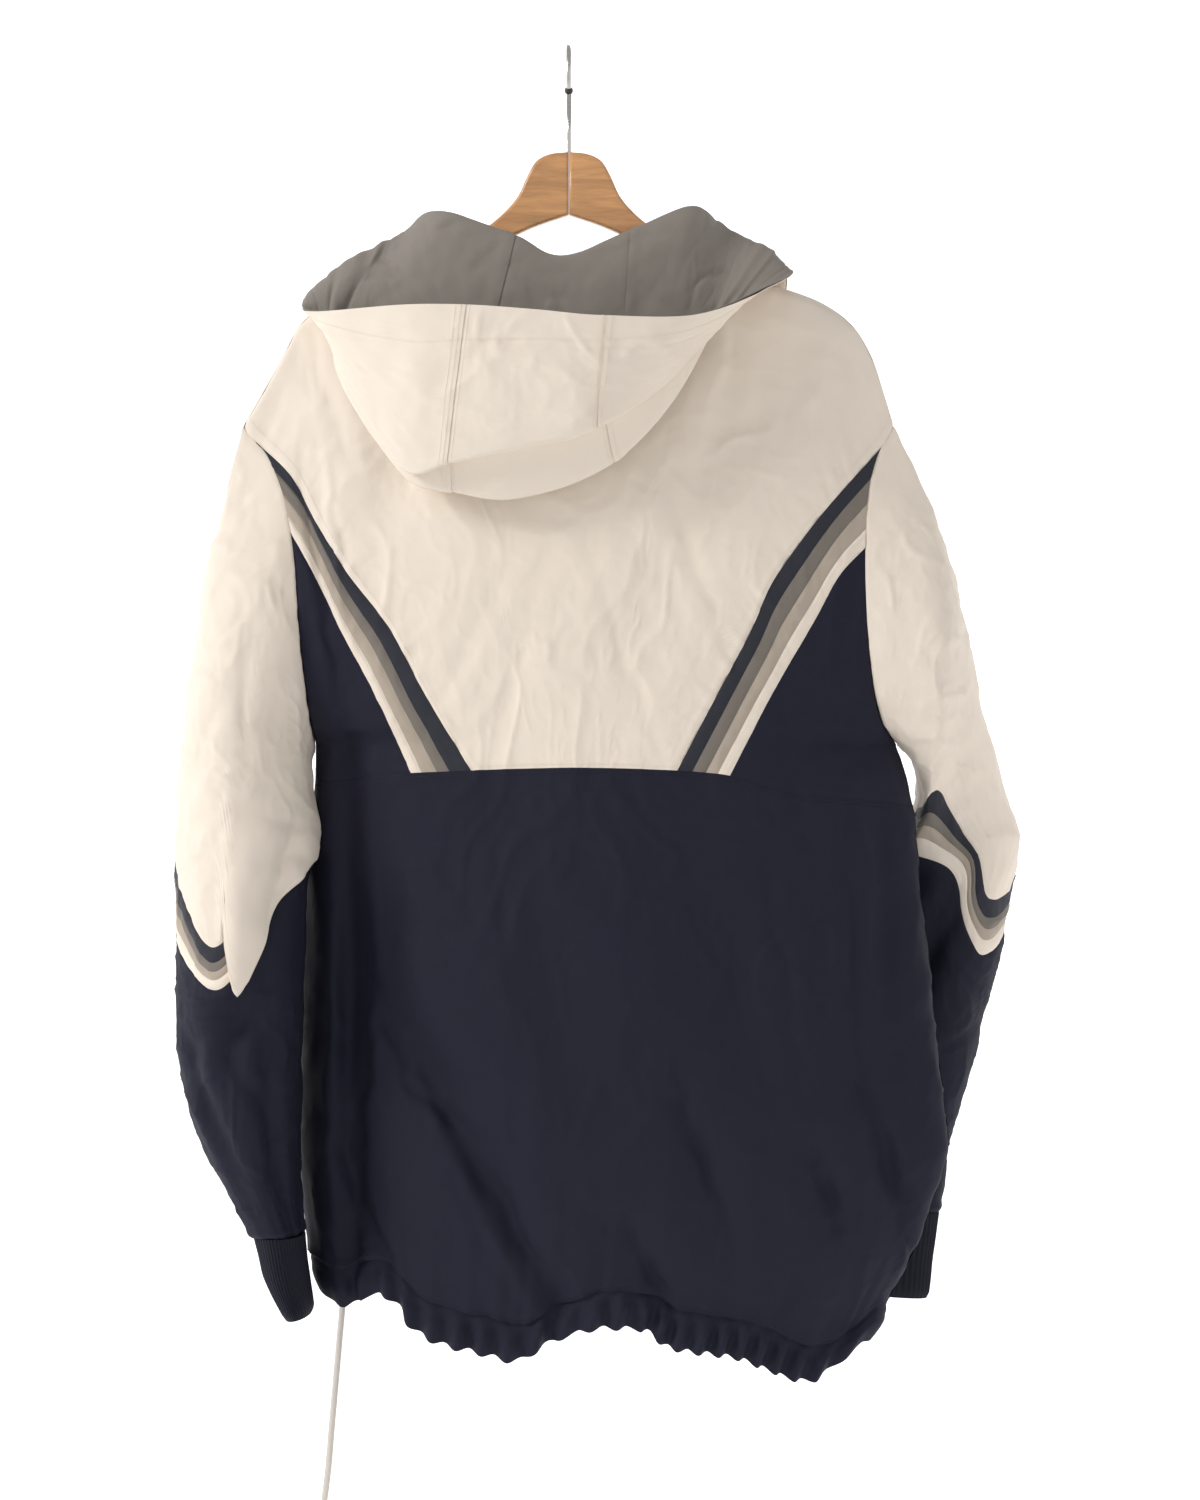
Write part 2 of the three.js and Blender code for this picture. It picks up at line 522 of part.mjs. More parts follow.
const crestSide = (name) => {
  const rows = BODY.filter((row) => row.z >= TIP_Z && row.z <= -158);
  return lineThrough(rows.map((row) => [row[name], row.z]).reverse());
};
const crestLeft = crestSide("left");
const crestRight = crestSide("right");
const NECK_BACK = [
  [-106, -158], [-101, -161], [-76, -168.5], [-47, -173], [0, -175], [47, -173], [76, -168.5], [101, -161],
  [106, -158],
];
const NECK_FRONT = [[106, -158], [101, -163.5], [78, -192], [38, -222], [5, -240]];
const CREST_STEPS = 5;

// The line across the top: crest, back of the neck, crest.
function topPlaces() {
  const left = share(CREST_STEPS).map((t) => onCrest(crestLeft(t)));
  const right = share(CREST_STEPS).map((t) => onCrest(crestRight(1 - t)));
  return [...left, ...NECK_BACK.slice(1, -1), ...right];
}
const onCrest = ([x]) => [x, crestZ(x)];

// The boundary between two stripes, from the armhole to the level seam.
function stripeLine(name, k) {
  const { upper, lower, shares, armhole, seam } = STRIPES[name];
  const high = lineThrough(upper);
  const low = lineThrough(lower);
  return (t) => {
    const p = mixPoint(high(t), low(t), shares[k]);
    const start = [edgeX(name, armhole[k]), armhole[k]];
    const end = [seam[k], backSeamZ(seam[k])];
    const atStart = mixPoint(high(0), low(0), shares[k]);
    const atEnd = mixPoint(high(1), low(1), shares[k]);
    const nearStart = (1 - t) ** 2;
    const nearEnd = t ** 2;
    return p.map((v, axis) => v + (start[axis] - atStart[axis]) * nearStart + (end[axis] - atEnd[axis]) * nearEnd);
  };
}

function armholeLine(name, from, to) {
  return (t) => {
    const z = mix(from, to, t);
    return [edgeX(name, z), z];
  };
}

function buildYoke() {
  const places = topPlaces();
  const top = along(places);
  const bottomLine = (s) => {
    const x = mix(STRIPES.left.seam[0], STRIPES.right.seam[0], s);
    return [x, backSeamZ(x)];
  };
  const side = (name) => {
    const start = YOKE_TOP_ROWS[YOKE_TOP_ROWS.length - 1];
    const hole = armholeLine(name, TIP_Z, STRIPES[name].armhole[0]);
    const stripe = stripeLine(name, 0);
    return (v) => (v <= start ? hole(v / start) : stripe((v - start) / (1 - start)));
  };
  const start = YOKE_TOP_ROWS[YOKE_TOP_ROWS.length - 1];
  const rows = [...YOKE_TOP_ROWS, ...share(STRIPE_ROWS).slice(1).map((t) => mix(start, 1, t))];
  const grid = rows.map((v) => share(places.length - 1).map((s) => patch(top, bottomLine, side("left"), side("right"), s, v)));
  bodyPanel("back_yoke", "white", -1, grid);
}

function buildStripes(name) {
  STRIPE_NAMES.forEach((stripe, k) => {
    const grid = share(STRIPE_ROWS).map((t) => [stripeLine(name, k)(t), stripeLine(name, k + 1)(t)]);
    bodyPanel(`back_stripe_${stripe}_${name}`, stripe, -1, grid);
  });
}

// Heights of the vertices down an armhole and on down the side to the level seam.
function sideHeights(name) {
  const start = STRIPES[name].armhole[4];
  const end = backSeamZ(edgeX(name, -556));
  const hole = share(SIDE_ROWS_ARMHOLE).map((t) => mix(start, UNDERARM_Z, t));
  const below = share(SIDE_ROWS_BELOW).slice(1).map((t) => mix(UNDERARM_Z, end, t));
  return [...hole, ...below];
}

function buildSidePanel(name) {
  const heights = sideHeights(name);
  const stripe = stripeLine(name, 4);
  const stripePlaces = along(share(STRIPE_ROWS).map(stripe));
  const count = heights.length - 1;
  const steps = 4;
  const grid = heights.map((z, i) => {
    const edge = [edgeX(name, z), z];
    const inner = stripePlaces(i / count);
    return share(steps).map((s) => {
      const [x, height] = mixPoint(edge, inner, s);
      return i === count ? [x, backSeamZ(x)] : [x, height];
    });
  });
  bodyPanel(`back_side_${name}`, "navy", -1, grid);
}

// Places along the level seam that the pieces above it use.
function levelSeamPlaces() {
  const part = (from, to, steps) => share(steps).slice(1).map((t) => mix(from, to, t));
  const left = edgeX("left", sideHeights("left").at(-1));
  const right = edgeX("right", sideHeights("right").at(-1));
  const xs = [
    left,
    ...part(left, STRIPES.left.seam[4], 4),
    ...[3, 2, 1, 0].map((k) => STRIPES.left.seam[k]),
    ...part(STRIPES.left.seam[0], STRIPES.right.seam[0], 2 * CREST_STEPS + NECK_BACK.length - 1),
    ...[1, 2, 3, 4].map((k) => STRIPES.right.seam[k]),
    ...part(STRIPES.right.seam[4], right, 4),
  ];
  return xs.map((x) => [x, backSeamZ(x)]);
}

const hemLow = (side, x) => column(side < 0 ? HEM_BACK : HEM_FRONT, "x", "z", x);
const sideEdgeLow = (name) => (name === "left" ? -930 : -966) + HEM_HEIGHT;

// A place down the lower body: its share across stays, so that the columns follow the edges.
function lowerPlace(side, fromPlace, v) {
  const [x0, z0] = fromPlace;
  const f = (x0 - edgeX("left", z0)) / (edgeX("right", z0) - edgeX("left", z0));
  const left = edgeX("left", sideEdgeLow("left"));
  const right = edgeX("right", sideEdgeLow("right"));
  const x1 = mix(left, right, f);
  const z1 = hemLow(side, x1) + HEM_HEIGHT;
  const z = mix(z0, z1, v);
  const at = mix(edgeX("left", z), edgeX("right", z), f);
  return [at, z];
}

function buildBackLower() {
  const top = levelSeamPlaces();
  const grid = share(LOWER_ROWS).map((v) => top.map((place) => lowerPlace(-1, place, v)));
  bodyPanel("back_lower", "navy", -1, grid);
  return grid;
}

// The casing below a panel: its gathers swell away from the seam, which it keeps to.
function buildHem(name, side, seamPlaces, fine, waves) {
  const count = (seamPlaces.length - 1) * fine;
  const walk = along(seamPlaces);
  const top = share(count).map((t) => walk(t));
  const coarse = seamPlaces.map(([x, z]) => vector(bodyPoint(side, x, z)));
  const coarseNormals = seamPlaces.map(([x, z]) => seamNormal(side, x, z));
  const blend = (list, t) => {
    const at = t * (list.length - 1);
    const i = Math.min(Math.floor(at), list.length - 2);
    return list[i].clone().lerp(list[i + 1], at - i);
  };
  const depths = [0, 0.25, 0.62, 1];
  const shareOf = ([x, z]) => (x - edgeX("left", z)) / (edgeX("right", z) - edgeX("left", z));
  const points = depths.map((v) =>
    top.map(([x, z], j) => {
      const t = j / count;
      const start = blend(coarse, t);
      const calm = Math.min(1, 12 * t, 12 * (1 - t));
      const ripple = Math.sin(2 * Math.PI * waves * t + 1.7 * Math.sin(9 * t)) * HEM_WAVE * calm;
      const puff = Math.sin(Math.PI * v) * 3;
      const low = z - v * HEM_HEIGHT;
      const narrowed = mix(edgeX("left", low), edgeX("right", low), shareOf([x, z])) - x;
      const drop = new THREE.Vector3(narrowed, 0, -v * HEM_HEIGHT - ripple * 0.5 * v * v);
      const ease = Math.min(1, v * 2.5);
      const out = blend(coarseNormals, t).setZ(0).normalize();
      return start.add(drop).addScaledVector(out, ease * (ripple + puff));
    }),
  );
  const normals = depths.map((v) =>
    top.map((_, j) => {
      const plain = blend(coarseNormals, j / count).normalize();
      return v === 0 ? plain : plain.setZ(0).normalize();
    }),
  );
  drawIn(points, normals, ["top", "left", "right"]);
  add(name, wallGeometry(points, normals, CLOTH, false), "navy");
}

// The front: an upper and a lower panel on each side of the zip, with a slanting seam between them.
const FRONT_SEAM_ZIP_Z = -470;
const sign = (name) => (name === "left" ? -1 : 1);

// Fills the space between four rows of places whose counts match.
function patchGrid(top, bottom, left, right) {
  const walks = [top, bottom, left, right].map(along);
  return share(left.length - 1).map((v) => share(top.length - 1).map((s) => patch(...walks, s, v)));
}

function frontSeam(name) {
  const start = [edgeX(name, FRONT_UPPER_HEIGHTS.at(-1)), FRONT_UPPER_HEIGHTS.at(-1)];
  const end = [sign(name) * ZIP_GAP, FRONT_SEAM_ZIP_Z];
  return share(CREST_STEPS).map((t) => {
    const [x, z] = mixPoint(start, end, t);
    return [x, z - 12 * Math.sin(Math.PI * t)];
  });
}

function buildFrontUpper(name) {
  const crest = name === "left" ? crestLeft : crestRight;
  const top = share(CREST_STEPS).map((t) => onCrest(crest(t)));
  const neck = NECK_FRONT.map(([x, z]) => [sign(name) * x, z]);
  const zip = zipHeights().slice(1, ZIP_UPPER_STEPS + 1).map((z) => [sign(name) * ZIP_GAP, z]);
  const hole = FRONT_UPPER_HEIGHTS.map((z) => [edgeX(name, z), z]);
  // The first row lies just below the crest, where the cloth has rounded over the hanger.
  const under = top.map(([x, z], i) => [x, z - CREST_DROP]);
  under[0] = hole[1];
  under[under.length - 1] = neck[1];
  const rest = patchGrid(under, frontSeam(name), hole.slice(1), [...neck.slice(1), ...zip]);
  bodyPanel(`front_upper_${name}`, "white", 1, [top, ...rest]);
}

const ZIP_UPPER_STEPS = 2;
const frontLowerRows = FRONT_LOWER_ARMHOLE_ROWS + SIDE_ROWS_BELOW + LOWER_ROWS;
const CREST_DROP = 5;
const zipLowZ = () => hemLow(1, 0) + HEM_HEIGHT;

// Heights down the zip, from the neck over the slanting seams to the hem's casing.
function zipHeights() {
  const neck = NECK_FRONT.at(-1)[1];
  const upper = share(ZIP_UPPER_STEPS).map((t) => mix(neck, FRONT_SEAM_ZIP_Z, t));
  const lower = share(frontLowerRows).slice(1).map((t) => mix(FRONT_SEAM_ZIP_Z, zipLowZ(), t));
  return [...upper, ...lower];
}

function buildFrontLower(name, backGrid) {
  const start = FRONT_UPPER_HEIGHTS.at(-1);
  const hole = share(FRONT_LOWER_ARMHOLE_ROWS).map((t) => mix(start, UNDERARM_Z, t));
  const below = sideHeights(name).slice(SIDE_ROWS_ARMHOLE + 1);
  const backEdge = backGrid.map((row) => (name === "left" ? row[0] : row.at(-1)));
  const heights = [...hole, ...below.slice(0, -1), ...backEdge.map(([, z]) => z)];
  const side = heights.map((z) => [edgeX(name, z), z]);
  const zip = zipHeights().slice(ZIP_UPPER_STEPS).map((z) => [sign(name) * ZIP_GAP, z]);
  const low = share(CREST_STEPS).map((t) => {
    const x = mix(side.at(-1)[0], sign(name) * ZIP_GAP, t);
    return [x, mix(side.at(-1)[1], zipLowZ(), t)];
  });
  bodyPanel(`front_lower_${name}`, "navy", 1, patchGrid(frontSeam(name), low, side, zip));
  return low;
}

// Sleeves
const pointColumn = (rows, key, name, at) =>
  [0, 1, 2].map((axis) => column(rows.map((row) => ({ key: row[key], value: row[name][axis] })), "key", "value", at));

function tubeRing(rows, s, turn) {
  const outer = vector(pointColumn(rows, "s", "outer", s));
  const inner = vector(pointColumn(rows, "s", "inner", s));
  const half = column(rows, "s", "half", s);
  const centre = outer.clone().add(inner).multiplyScalar(0.5);
  const across = outer.clone().sub(centre);
  const flat = across.clone().normalize();
  const deep = new THREE.Vector3(0, -1, 0);
  deep.addScaledVector(flat, -deep.dot(flat)).normalize();
  const point = centre.clone().addScaledVector(across, Math.cos(turn)).addScaledVector(deep, half * Math.sin(turn));
  return { point, centre };
}

// The armhole's edge as the body has it: turn 0 is its top, half a turn later the underarm.
function armholePoint(name, turn) {
  const z = mix(TIP_Z, UNDERARM_Z, (1 - Math.cos(turn)) / 2);
  return vector(bodyPoint(Math.sin(turn) >= 0 ? -1 : 1, edgeX(name, z), z));
}

const ARMHOLE_REACH = 0.24;

function sleevePoint(name, s, turn) {
  const { point, centre } = tubeRing(SLEEVES[name], s, turn);
  const near = clamp(1 - s / ARMHOLE_REACH, 0, 1);
  const hold = near * near * (3 - 2 * near);
  if (hold > 0) {
    const start = tubeRing(SLEEVES[name], 0, turn).point;
    point.add(armholePoint(name, turn).sub(start).multiplyScalar(hold));
  }
  const inward = centre.sub(point).normalize();
  for (const fold of SLEEVE_FOLDS[name]) {
    const off = turn - fold.turn - fold.lean * (s - fold.s);
    const round = Math.atan2(Math.sin(off), Math.cos(off)) / fold.round;
    const run = (s - fold.s) / fold.along;
    point.addScaledVector(inward, (1 - hold) * fold.deep * Math.exp(-round * round - run * run));
  }
  return point;
}

function sleeveNormal(name, s, turn) {
  const round = sleevePoint(name, s, turn + 0.04).sub(sleevePoint(name, s, turn - 0.04));
  const down = sleevePoint(name, Math.min(1, s + 0.01), turn).sub(sleevePoint(name, Math.max(0, s - 0.01), turn));
  const normal = round.cross(down).normalize();
  return name === "left" ? normal.negate() : normal;
}

// The turns at which the body's pieces meet the armhole.
function armholeTurns(name) {
  const yokeEnd = STRIPES[name].armhole[0];
  const yoke = YOKE_TOP_ROWS.map((v) => mix(TIP_Z, yokeEnd, v / YOKE_TOP_ROWS.at(-1)));
  const side = sideHeights(name).slice(1, SIDE_ROWS_ARMHOLE + 1);
  const back = [...yoke, ...STRIPES[name].armhole.slice(1), ...side];
  const frontLow = share(FRONT_LOWER_ARMHOLE_ROWS).map((t) => mix(FRONT_UPPER_HEIGHTS.at(-1), UNDERARM_Z, t));
  const front = [...FRONT_UPPER_HEIGHTS.slice(1), ...frontLow.slice(1, -1)].reverse();
  const turnOf = (z) => Math.acos(clamp(1 - (2 * (z - TIP_Z)) / (UNDERARM_Z - TIP_Z), -1, 1));
  return [...back.map(turnOf), ...front.map((z) => 2 * Math.PI - turnOf(z))];
}

function chevronAt(name, k, turn) {
  const rows = CHEVRONS[name];
  const start = rows[0].turn;
  const round = 2 * Math.PI;
  const at = start + ((((turn - start) % round) + round) % round);
  return column(rows, "turn", "s", at) + CHEVRON_SHARES[k] * column(rows, "turn", "wide", at);
}

function armholeNormal(name, turn) {
  const p = armholePoint(name, turn);
  return seamNormal(Math.sin(turn) >= 0 ? -1 : 1, p.x, p.z);
}

function sleevePart(part, name, colour, steps, from, to) {
  const turns = armholeTurns(name);
  const at = steps.map((v) => turns.map((turn) => mix(from(turn), to(turn), v)));
  const points = at.map((row) => row.map((s, j) => sleevePoint(name, s, turns[j])));
  const normals = at.map((row) =>
    row.map((s, j) => (s === 0 ? armholeNormal(name, turns[j]) : sleeveNormal(name, s, turns[j]))),
  );
  drawIn(points, normals, at[0][0] === 0 ? ["bottom"] : ["top", "bottom"]);
  // The armhole's seam opens sideways, away from the body.
  if (at[0][0] === 0) points[0].forEach((point) => point.setX(point.x + 2 * SEAM_HALF * sign(name)));
  add(part, wallGeometry(points, normals, CLOTH, true), colour);
}

const LOWER_SLEEVE_STEPS = [0, 0.1, 0.24, 0.4, 0.58, 0.78, 1];

function buildSleeve(name) {
  const near = name === "left" ? [0.78, 0.86, 0.91, 0.96] : [0.75, 0.88];
  const upperSteps = [0, 0.06, 0.15, 0.27, 0.43, 0.62, ...near, 1];
  sleevePart(`sleeve_upper_${name}`, name, "white", upperSteps, () => 0, (turn) => chevronAt(name, 0, turn));
  STRIPE_NAMES.forEach((stripe, k) => {
    const part = `sleeve_stripe_${stripe}_${name}`;
    sleevePart(part, name, stripe, [0, 1], (turn) => chevronAt(name, k, turn), (turn) => chevronAt(name, k + 1, turn));
  });
  sleevePart(`sleeve_lower_${name}`, name, "navy", LOWER_SLEEVE_STEPS, (turn) => chevronAt(name, 4, turn), () => 1);
}

const RIBS = 20;
const RIB_HEIGHT = 0.5;

function buildCuff(name) {
  const turns = share(2 * RIBS).slice(0, -1).map((t) => 2 * Math.PI * t);
  const rows = CUFFS[name];
  const ringOut = (s, turn) => {
    const { point, centre } = tubeRing(rows, s, turn);
    return { point, out: point.clone().sub(centre).setZ(0).normalize() };
  };
  const points = share(2).map((s) =>
    turns.map((turn, j) => {
      const { point, out } = ringOut(s, turn);
      return point.addScaledVector(out, j % 2 ? RIB_HEIGHT : 0);
    }),
  );
  const inner = share(2).map((s) =>
    turns.map((turn, j) => {
      const { out } = ringOut(s, turn);
      return out.multiplyScalar(1 + (j % 2 ? RIB_HEIGHT / RIB_CLOTH : 0));
    }),
  );
  add(`cuff_${name}`, wallGeometry(points, inner, RIB_CLOTH, true), "rib");
}

// The hood: a folded sheet from the neck seam over its ridge to the pouch, and up to the opening.
const HOOD_KEYS = [0, 0.1, 0.3, 0.5, 0.585, 0.66, 1];
const HOOD_SPLITS = [0.42, 0.58];
const TUCK_RISE = 13;

function hoodControls(u) {
  const at = (name) => pointColumn(HOOD, "u", name, u);
  const [neck, ridge, bottom, fold, band] = ["neck", "ridge", "bottom", "fold", "band"].map(at);
  const pouch = clamp((ridge[2] - bottom[2]) / 150, 0, 1);
  const behind = mixPoint(ridge, bottom, 0.5);
  behind[1] += 4 * pouch;
  const tuck = mixPoint(bottom, fold, 0.55);
  tuck[2] += TUCK_RISE * pouch;
  return [neck, ridge, behind, bottom, tuck, fold, band];
}

function hoodMiddle(u, w) {
  const controls = hoodControls(u);
  let i = HOOD_KEYS.findIndex((key) => key >= w);
  i = clamp(i - 1, 0, HOOD_KEYS.length - 2);
  const part = (w - HOOD_KEYS[i]) / (HOOD_KEYS[i + 1] - HOOD_KEYS[i]);
  const smooth = [0, 1, 2].map((axis) => hermite((k) => controls[k][axis], HOOD_KEYS, i, part));
  return vector(smooth);
}

// The neck seam as the body has it, from the zip round the back to the zip.
const NECK_LEFT = [...NECK_FRONT].reverse().map(([x, z]) => [-x, z]);
const NECK_MIDDLE = (NECK_BACK.length - 1) / 2;
const neckWalk = {
  left: along([...NECK_LEFT, ...NECK_BACK.slice(1, NECK_MIDDLE + 1)]),
  right: along([...NECK_BACK.slice(NECK_MIDDLE, -1), ...NECK_FRONT]),
};
const NECK_CLEAR = 1;
const NECK_KNOTS = [0, 0.09, 0.18, 0.235, 0.27, 0.29, 0.355, 0.42, 0.5];
const NECK_START = 0.27;
const NECK_END = 0.73;

function neckPoint(u) {
  const onBack = u >= NECK_START && u <= NECK_END;
  const fromZip = Math.min(u, 1 - u);
  const knot = clamp(NECK_KNOTS.findIndex((value) => value >= fromZip) - 1, 0, NECK_KNOTS.length - 2);
  const part = (fromZip - NECK_KNOTS[knot]) / (NECK_KNOTS[knot + 1] - NECK_KNOTS[knot]);
  const front = (knot + part) / (NECK_KNOTS.length - 1);
  const walk = u < 0.5 ? neckWalk.left : neckWalk.right;
  const [x, z] = walk(u < 0.5 ? front : 1 - front);
  const side = onBack ? -1 : 1;
  const p = vector(bodyPoint(side, x, z));
  p.y -= side * 0.5 * CLOTH;
  p.z += 3 * SEAM_HALF;
  if (!onBack) {
    p.z += NECK_CLEAR;
    p.x -= Math.sign(p.x) * NECK_CLEAR;
  }
  return p;
}

function hoodPoint(u, w) {
  const p = hoodMiddle(u, w);
  const near = clamp(1 - w / HOOD_KEYS[1], 0, 1);
  if (near > 0) p.add(neckPoint(u).sub(hoodMiddle(u, 0)).multiplyScalar(near));
  return p;
}

// Unit normals of the hood's grid. At a crease the normal halves the angle between the rows beside it.
function hoodNormals(grid) {
  const way = (from, to) => to.clone().sub(from).normalize();
  return grid.map((row, i) =>
    row.map((p, j) => {
      const across = way(row[Math.max(0, j - 1)], p).add(way(p, row[Math.min(row.length - 1, j + 1)]));
      const above = way(grid[Math.max(0, i - 1)][j], p);
      const below = way(p, grid[Math.min(grid.length - 1, i + 1)][j]);
      return across.cross(above.add(below)).normalize();
    }),
  );
}

// Rows stand on the creases at 0.1, 0.505, 0.587 and 0.655.
const HOOD_ROWS = [0, 0.05, 0.1, 0.2, 0.32, 0.43, 0.505, 0.545, 0.587, 0.62, 0.655, 0.74, 0.87, 1];
// Columns stand at the neck's corners, with one more between them on the back.
const HALF_COLUMNS = NECK_KNOTS.flatMap((u, i) => (i > 5 ? [(NECK_KNOTS[i - 1] + u) / 2, u] : [u]));
const HOOD_COLUMNS = [...HALF_COLUMNS, ...HALF_COLUMNS.slice(0, -1).reverse().map((u) => 1 - u)];

const HOOD_GRID = HOOD_ROWS.map((w) => HOOD_COLUMNS.map((u) => hoodPoint(u, w)));
const HOOD_NORMALS = hoodNormals(HOOD_GRID);
const HOOD_LAYER_HALF = 0.25; // half of the gap between shell and lining

function buildHoodPart(part, layer, colour) {
  const first = { left: 0, centre: 9, right: 13 }[part];
  const last = { left: 9, centre: 13, right: HOOD_COLUMNS.length - 1 }[part];
  const face = layer === "shell" ? 1 : -1;
  const normals = HOOD_NORMALS.map((row) => row.slice(first, last + 1).map((n) => n.clone().multiplyScalar(face)));
  const points = HOOD_GRID.map((row, i) =>
    row.slice(first, last + 1).map((p, j) => p.clone().addScaledVector(normals[i][j], HOOD_LAYER_HALF + CLOTH)),
  );
  drawIn(points, normals, ["left", "right"], 4 * SEAM_HALF);
  add(`hood_${layer}_${part}`, wallGeometry(points, normals, CLOTH, false), colour);
}

// The zip: two tapes behind the fronts, the chain of closed teeth between them, and its slider.
const CHAIN_HALF = 1.6;
const TAPE_THICK = 0.8;
const TAPE_BEHIND = 0.8;
const CHAIN_THICK = 2.2;
const ZIP_TOP_Z = -243;
const ZIP_END_Z = -949;

function zipStrip(name, colour, [x0, x1], [outset0, outset1], thick) {
  const heights = [ZIP_TOP_Z, ...zipHeights().slice(1), ZIP_END_Z];
  const places = heights.map((z) => [[x0, z], [x1, z]]);
  const normals = places.map((row) => row.map(([x, z]) => bodyNormal(1, x, z)));
  const points = places.map((row, i) =>
    row.map(([x, z], j) => vector(bodyPoint(1, x, z)).addScaledVector(normals[i][j], j ? outset1 : outset0)),
  );
  add(name, wallGeometry(points, normals, thick, false), colour);
}

// A closed mesh as a solid for joining and cutting.
function solidOf(geometry) {
  const plain = geometry.index ? geometry.toNonIndexed() : geometry.clone();
  const bare = new THREE.BufferGeometry().setAttribute("position", plain.getAttribute("position"));
  const merged = mergeVertices(bare, 1e-3);
  const triVerts = new Uint32Array(merged.index.array);
  return new wasm.Manifold(new wasm.Mesh({ numProp: 3, vertProperties: merged.attributes.position.array, triVerts }));
}

function geometryOf(solid) {
  const { vertProperties, triVerts } = solid.getMesh();
  const geometry = new THREE.BufferGeometry();
  geometry.setAttribute("position", new THREE.BufferAttribute(vertProperties, 3));
  geometry.setIndex(new THREE.BufferAttribute(triVerts, 1));
  return geometry;
}

// An outline in Y and Z, extruded across X about the zip's middle.
function acrossZip(outline, wide, holes = []) {
  const shape = new THREE.Shape(outline.map(([y, z]) => new THREE.Vector2(y, z)));
  for (const { y, z, radius } of holes) {
    const hole = new THREE.Path();
    hole.absarc(y, z, radius, 0, 2 * Math.PI, true);
    shape.holes.push(hole);
  }
  const geometry = new THREE.ExtrudeGeometry(shape, { depth: wide, bevelEnabled: false, curveSegments: 6 });
  const turn = new THREE.Matrix4().makeBasis(
    new THREE.Vector3(0, 1, 0), new THREE.Vector3(0, 0, 1), new THREE.Vector3(1, 0, 0),
  );
  return geometry.applyMatrix4(turn).translate(-wide / 2, 0, 0);
}

const SLIDER_TOP_Z = -246;
const SLIDER_TALL = 13;
const SLIDER_WIDE = 9;
const SLIDER_OFF = 0.7; // the slider's plate stands this far off the cloth
const SLIDER_PLATE = 1.6;
const LUG_WIDE = 1.2;
const PIN_RADIUS = 0.7;
const PIN_OUT = 3.1; // the pin's middle over the plate
const TAB_LONG = 27;
const TAB_WIDE = 4.6;
const TAB_THICK = 1.3;
const EYE_RADIUS = 2.1;
const PIN_DOWN = 5; // the pin's middle below the slider's top

// The cloth's lie at the slider, so that slider and tab follow it.
const sliderPlace = () => {
  const high = bodyPoint(1, 0, SLIDER_TOP_Z);
  const low = bodyPoint(1, 0, SLIDER_TOP_Z - SLIDER_TALL - TAB_LONG);
  return { y: high[1], lean: Math.atan2(low[1] - high[1], high[2] - low[2]) };
};

function placeOnZip(geometry) {
  const { y, lean } = sliderPlace();
  return geometry.applyMatrix4(new THREE.Matrix4().makeRotationX(lean)).translate(0, y, SLIDER_TOP_Z);
}

function buildSlider() {
  const front = SLIDER_OFF + SLIDER_PLATE;
  const plate = acrossZip([[SLIDER_OFF, 0], [front, -1], [front, 1 - SLIDER_TALL], [SLIDER_OFF, -SLIDER_TALL]], SLIDER_WIDE);
  const lugHigh = PIN_OUT + PIN_RADIUS + 0.8;
  const lugOutline = [[front - 0.2, -2], [front + lugHigh, -3.4], [front + lugHigh, -6.6], [front - 0.2, -8]];
  const pin = new THREE.CylinderGeometry(PIN_RADIUS, PIN_RADIUS, TAB_WIDE + 1.6, 12)
    .rotateZ(Math.PI / 2)
    .translate(0, front + PIN_OUT, -PIN_DOWN);
  let solid = solidOf(plate).add(solidOf(pin));
  for (const side of [-1, 1]) {
    const lug = acrossZip(lugOutline, LUG_WIDE).translate((side * (TAB_WIDE + LUG_WIDE + 0.8)) / 2, 0, 0);
    solid = solid.add(solidOf(lug));
  }
  add("zip_slider", placeOnZip(geometryOf(solid)), "steel");
}

function buildPullTab() {
  const y = SLIDER_OFF + SLIDER_PLATE + PIN_OUT;
  const hole = { y, z: -PIN_DOWN, radius: PIN_RADIUS + 0.4 };
  const low = -PIN_DOWN - TAB_LONG;
  const back = y - TAB_THICK / 2;
  const face = y + TAB_THICK / 2;
  const round = share(10).map((t) => {
    const turn = mix(-0.32, Math.PI + 0.32, t);
    return [y + EYE_RADIUS * Math.cos(turn), -PIN_DOWN + EYE_RADIUS * Math.sin(turn)];
  });
  const outline = [...round, [back, -PIN_DOWN - EYE_RADIUS], [back, low], [face, low], [face, -PIN_DOWN - EYE_RADIUS]];
  const grip = acrossZip([[back, -PIN_DOWN - 6], [back, low], [face, low], [face, -PIN_DOWN - 6]], 7);
  const solid = solidOf(acrossZip(outline, TAB_WIDE, [hole])).add(solidOf(grip));
  add("zip_pull_tab", placeOnZip(geometryOf(solid)), "steel");
}

// The hanger: two halves glued at the middle, each an outline cut from board.
const ARM_TOP = [
  [0, -77], [-14, -78.5], [-24, -83.5], [-31, -95], [-38, -110], [-48, -122], [-63, -134.5], [-84, -148],
  [-106, -166], [-142, -182], [-176, -200],
];
const ARM_END = [[-187, -208], [-191, -215], [-188, -222], [-180, -224]];
const ARM_UNDER = [[-158, -213], [-120, -190], [-84, -169], [-62, -152], [-45, -142], [-26, -133], [0, -124]];
const ARM_BEVEL = 2.5;
const ARM_LIFT_RIGHT = 7; // the right end rides this much higher

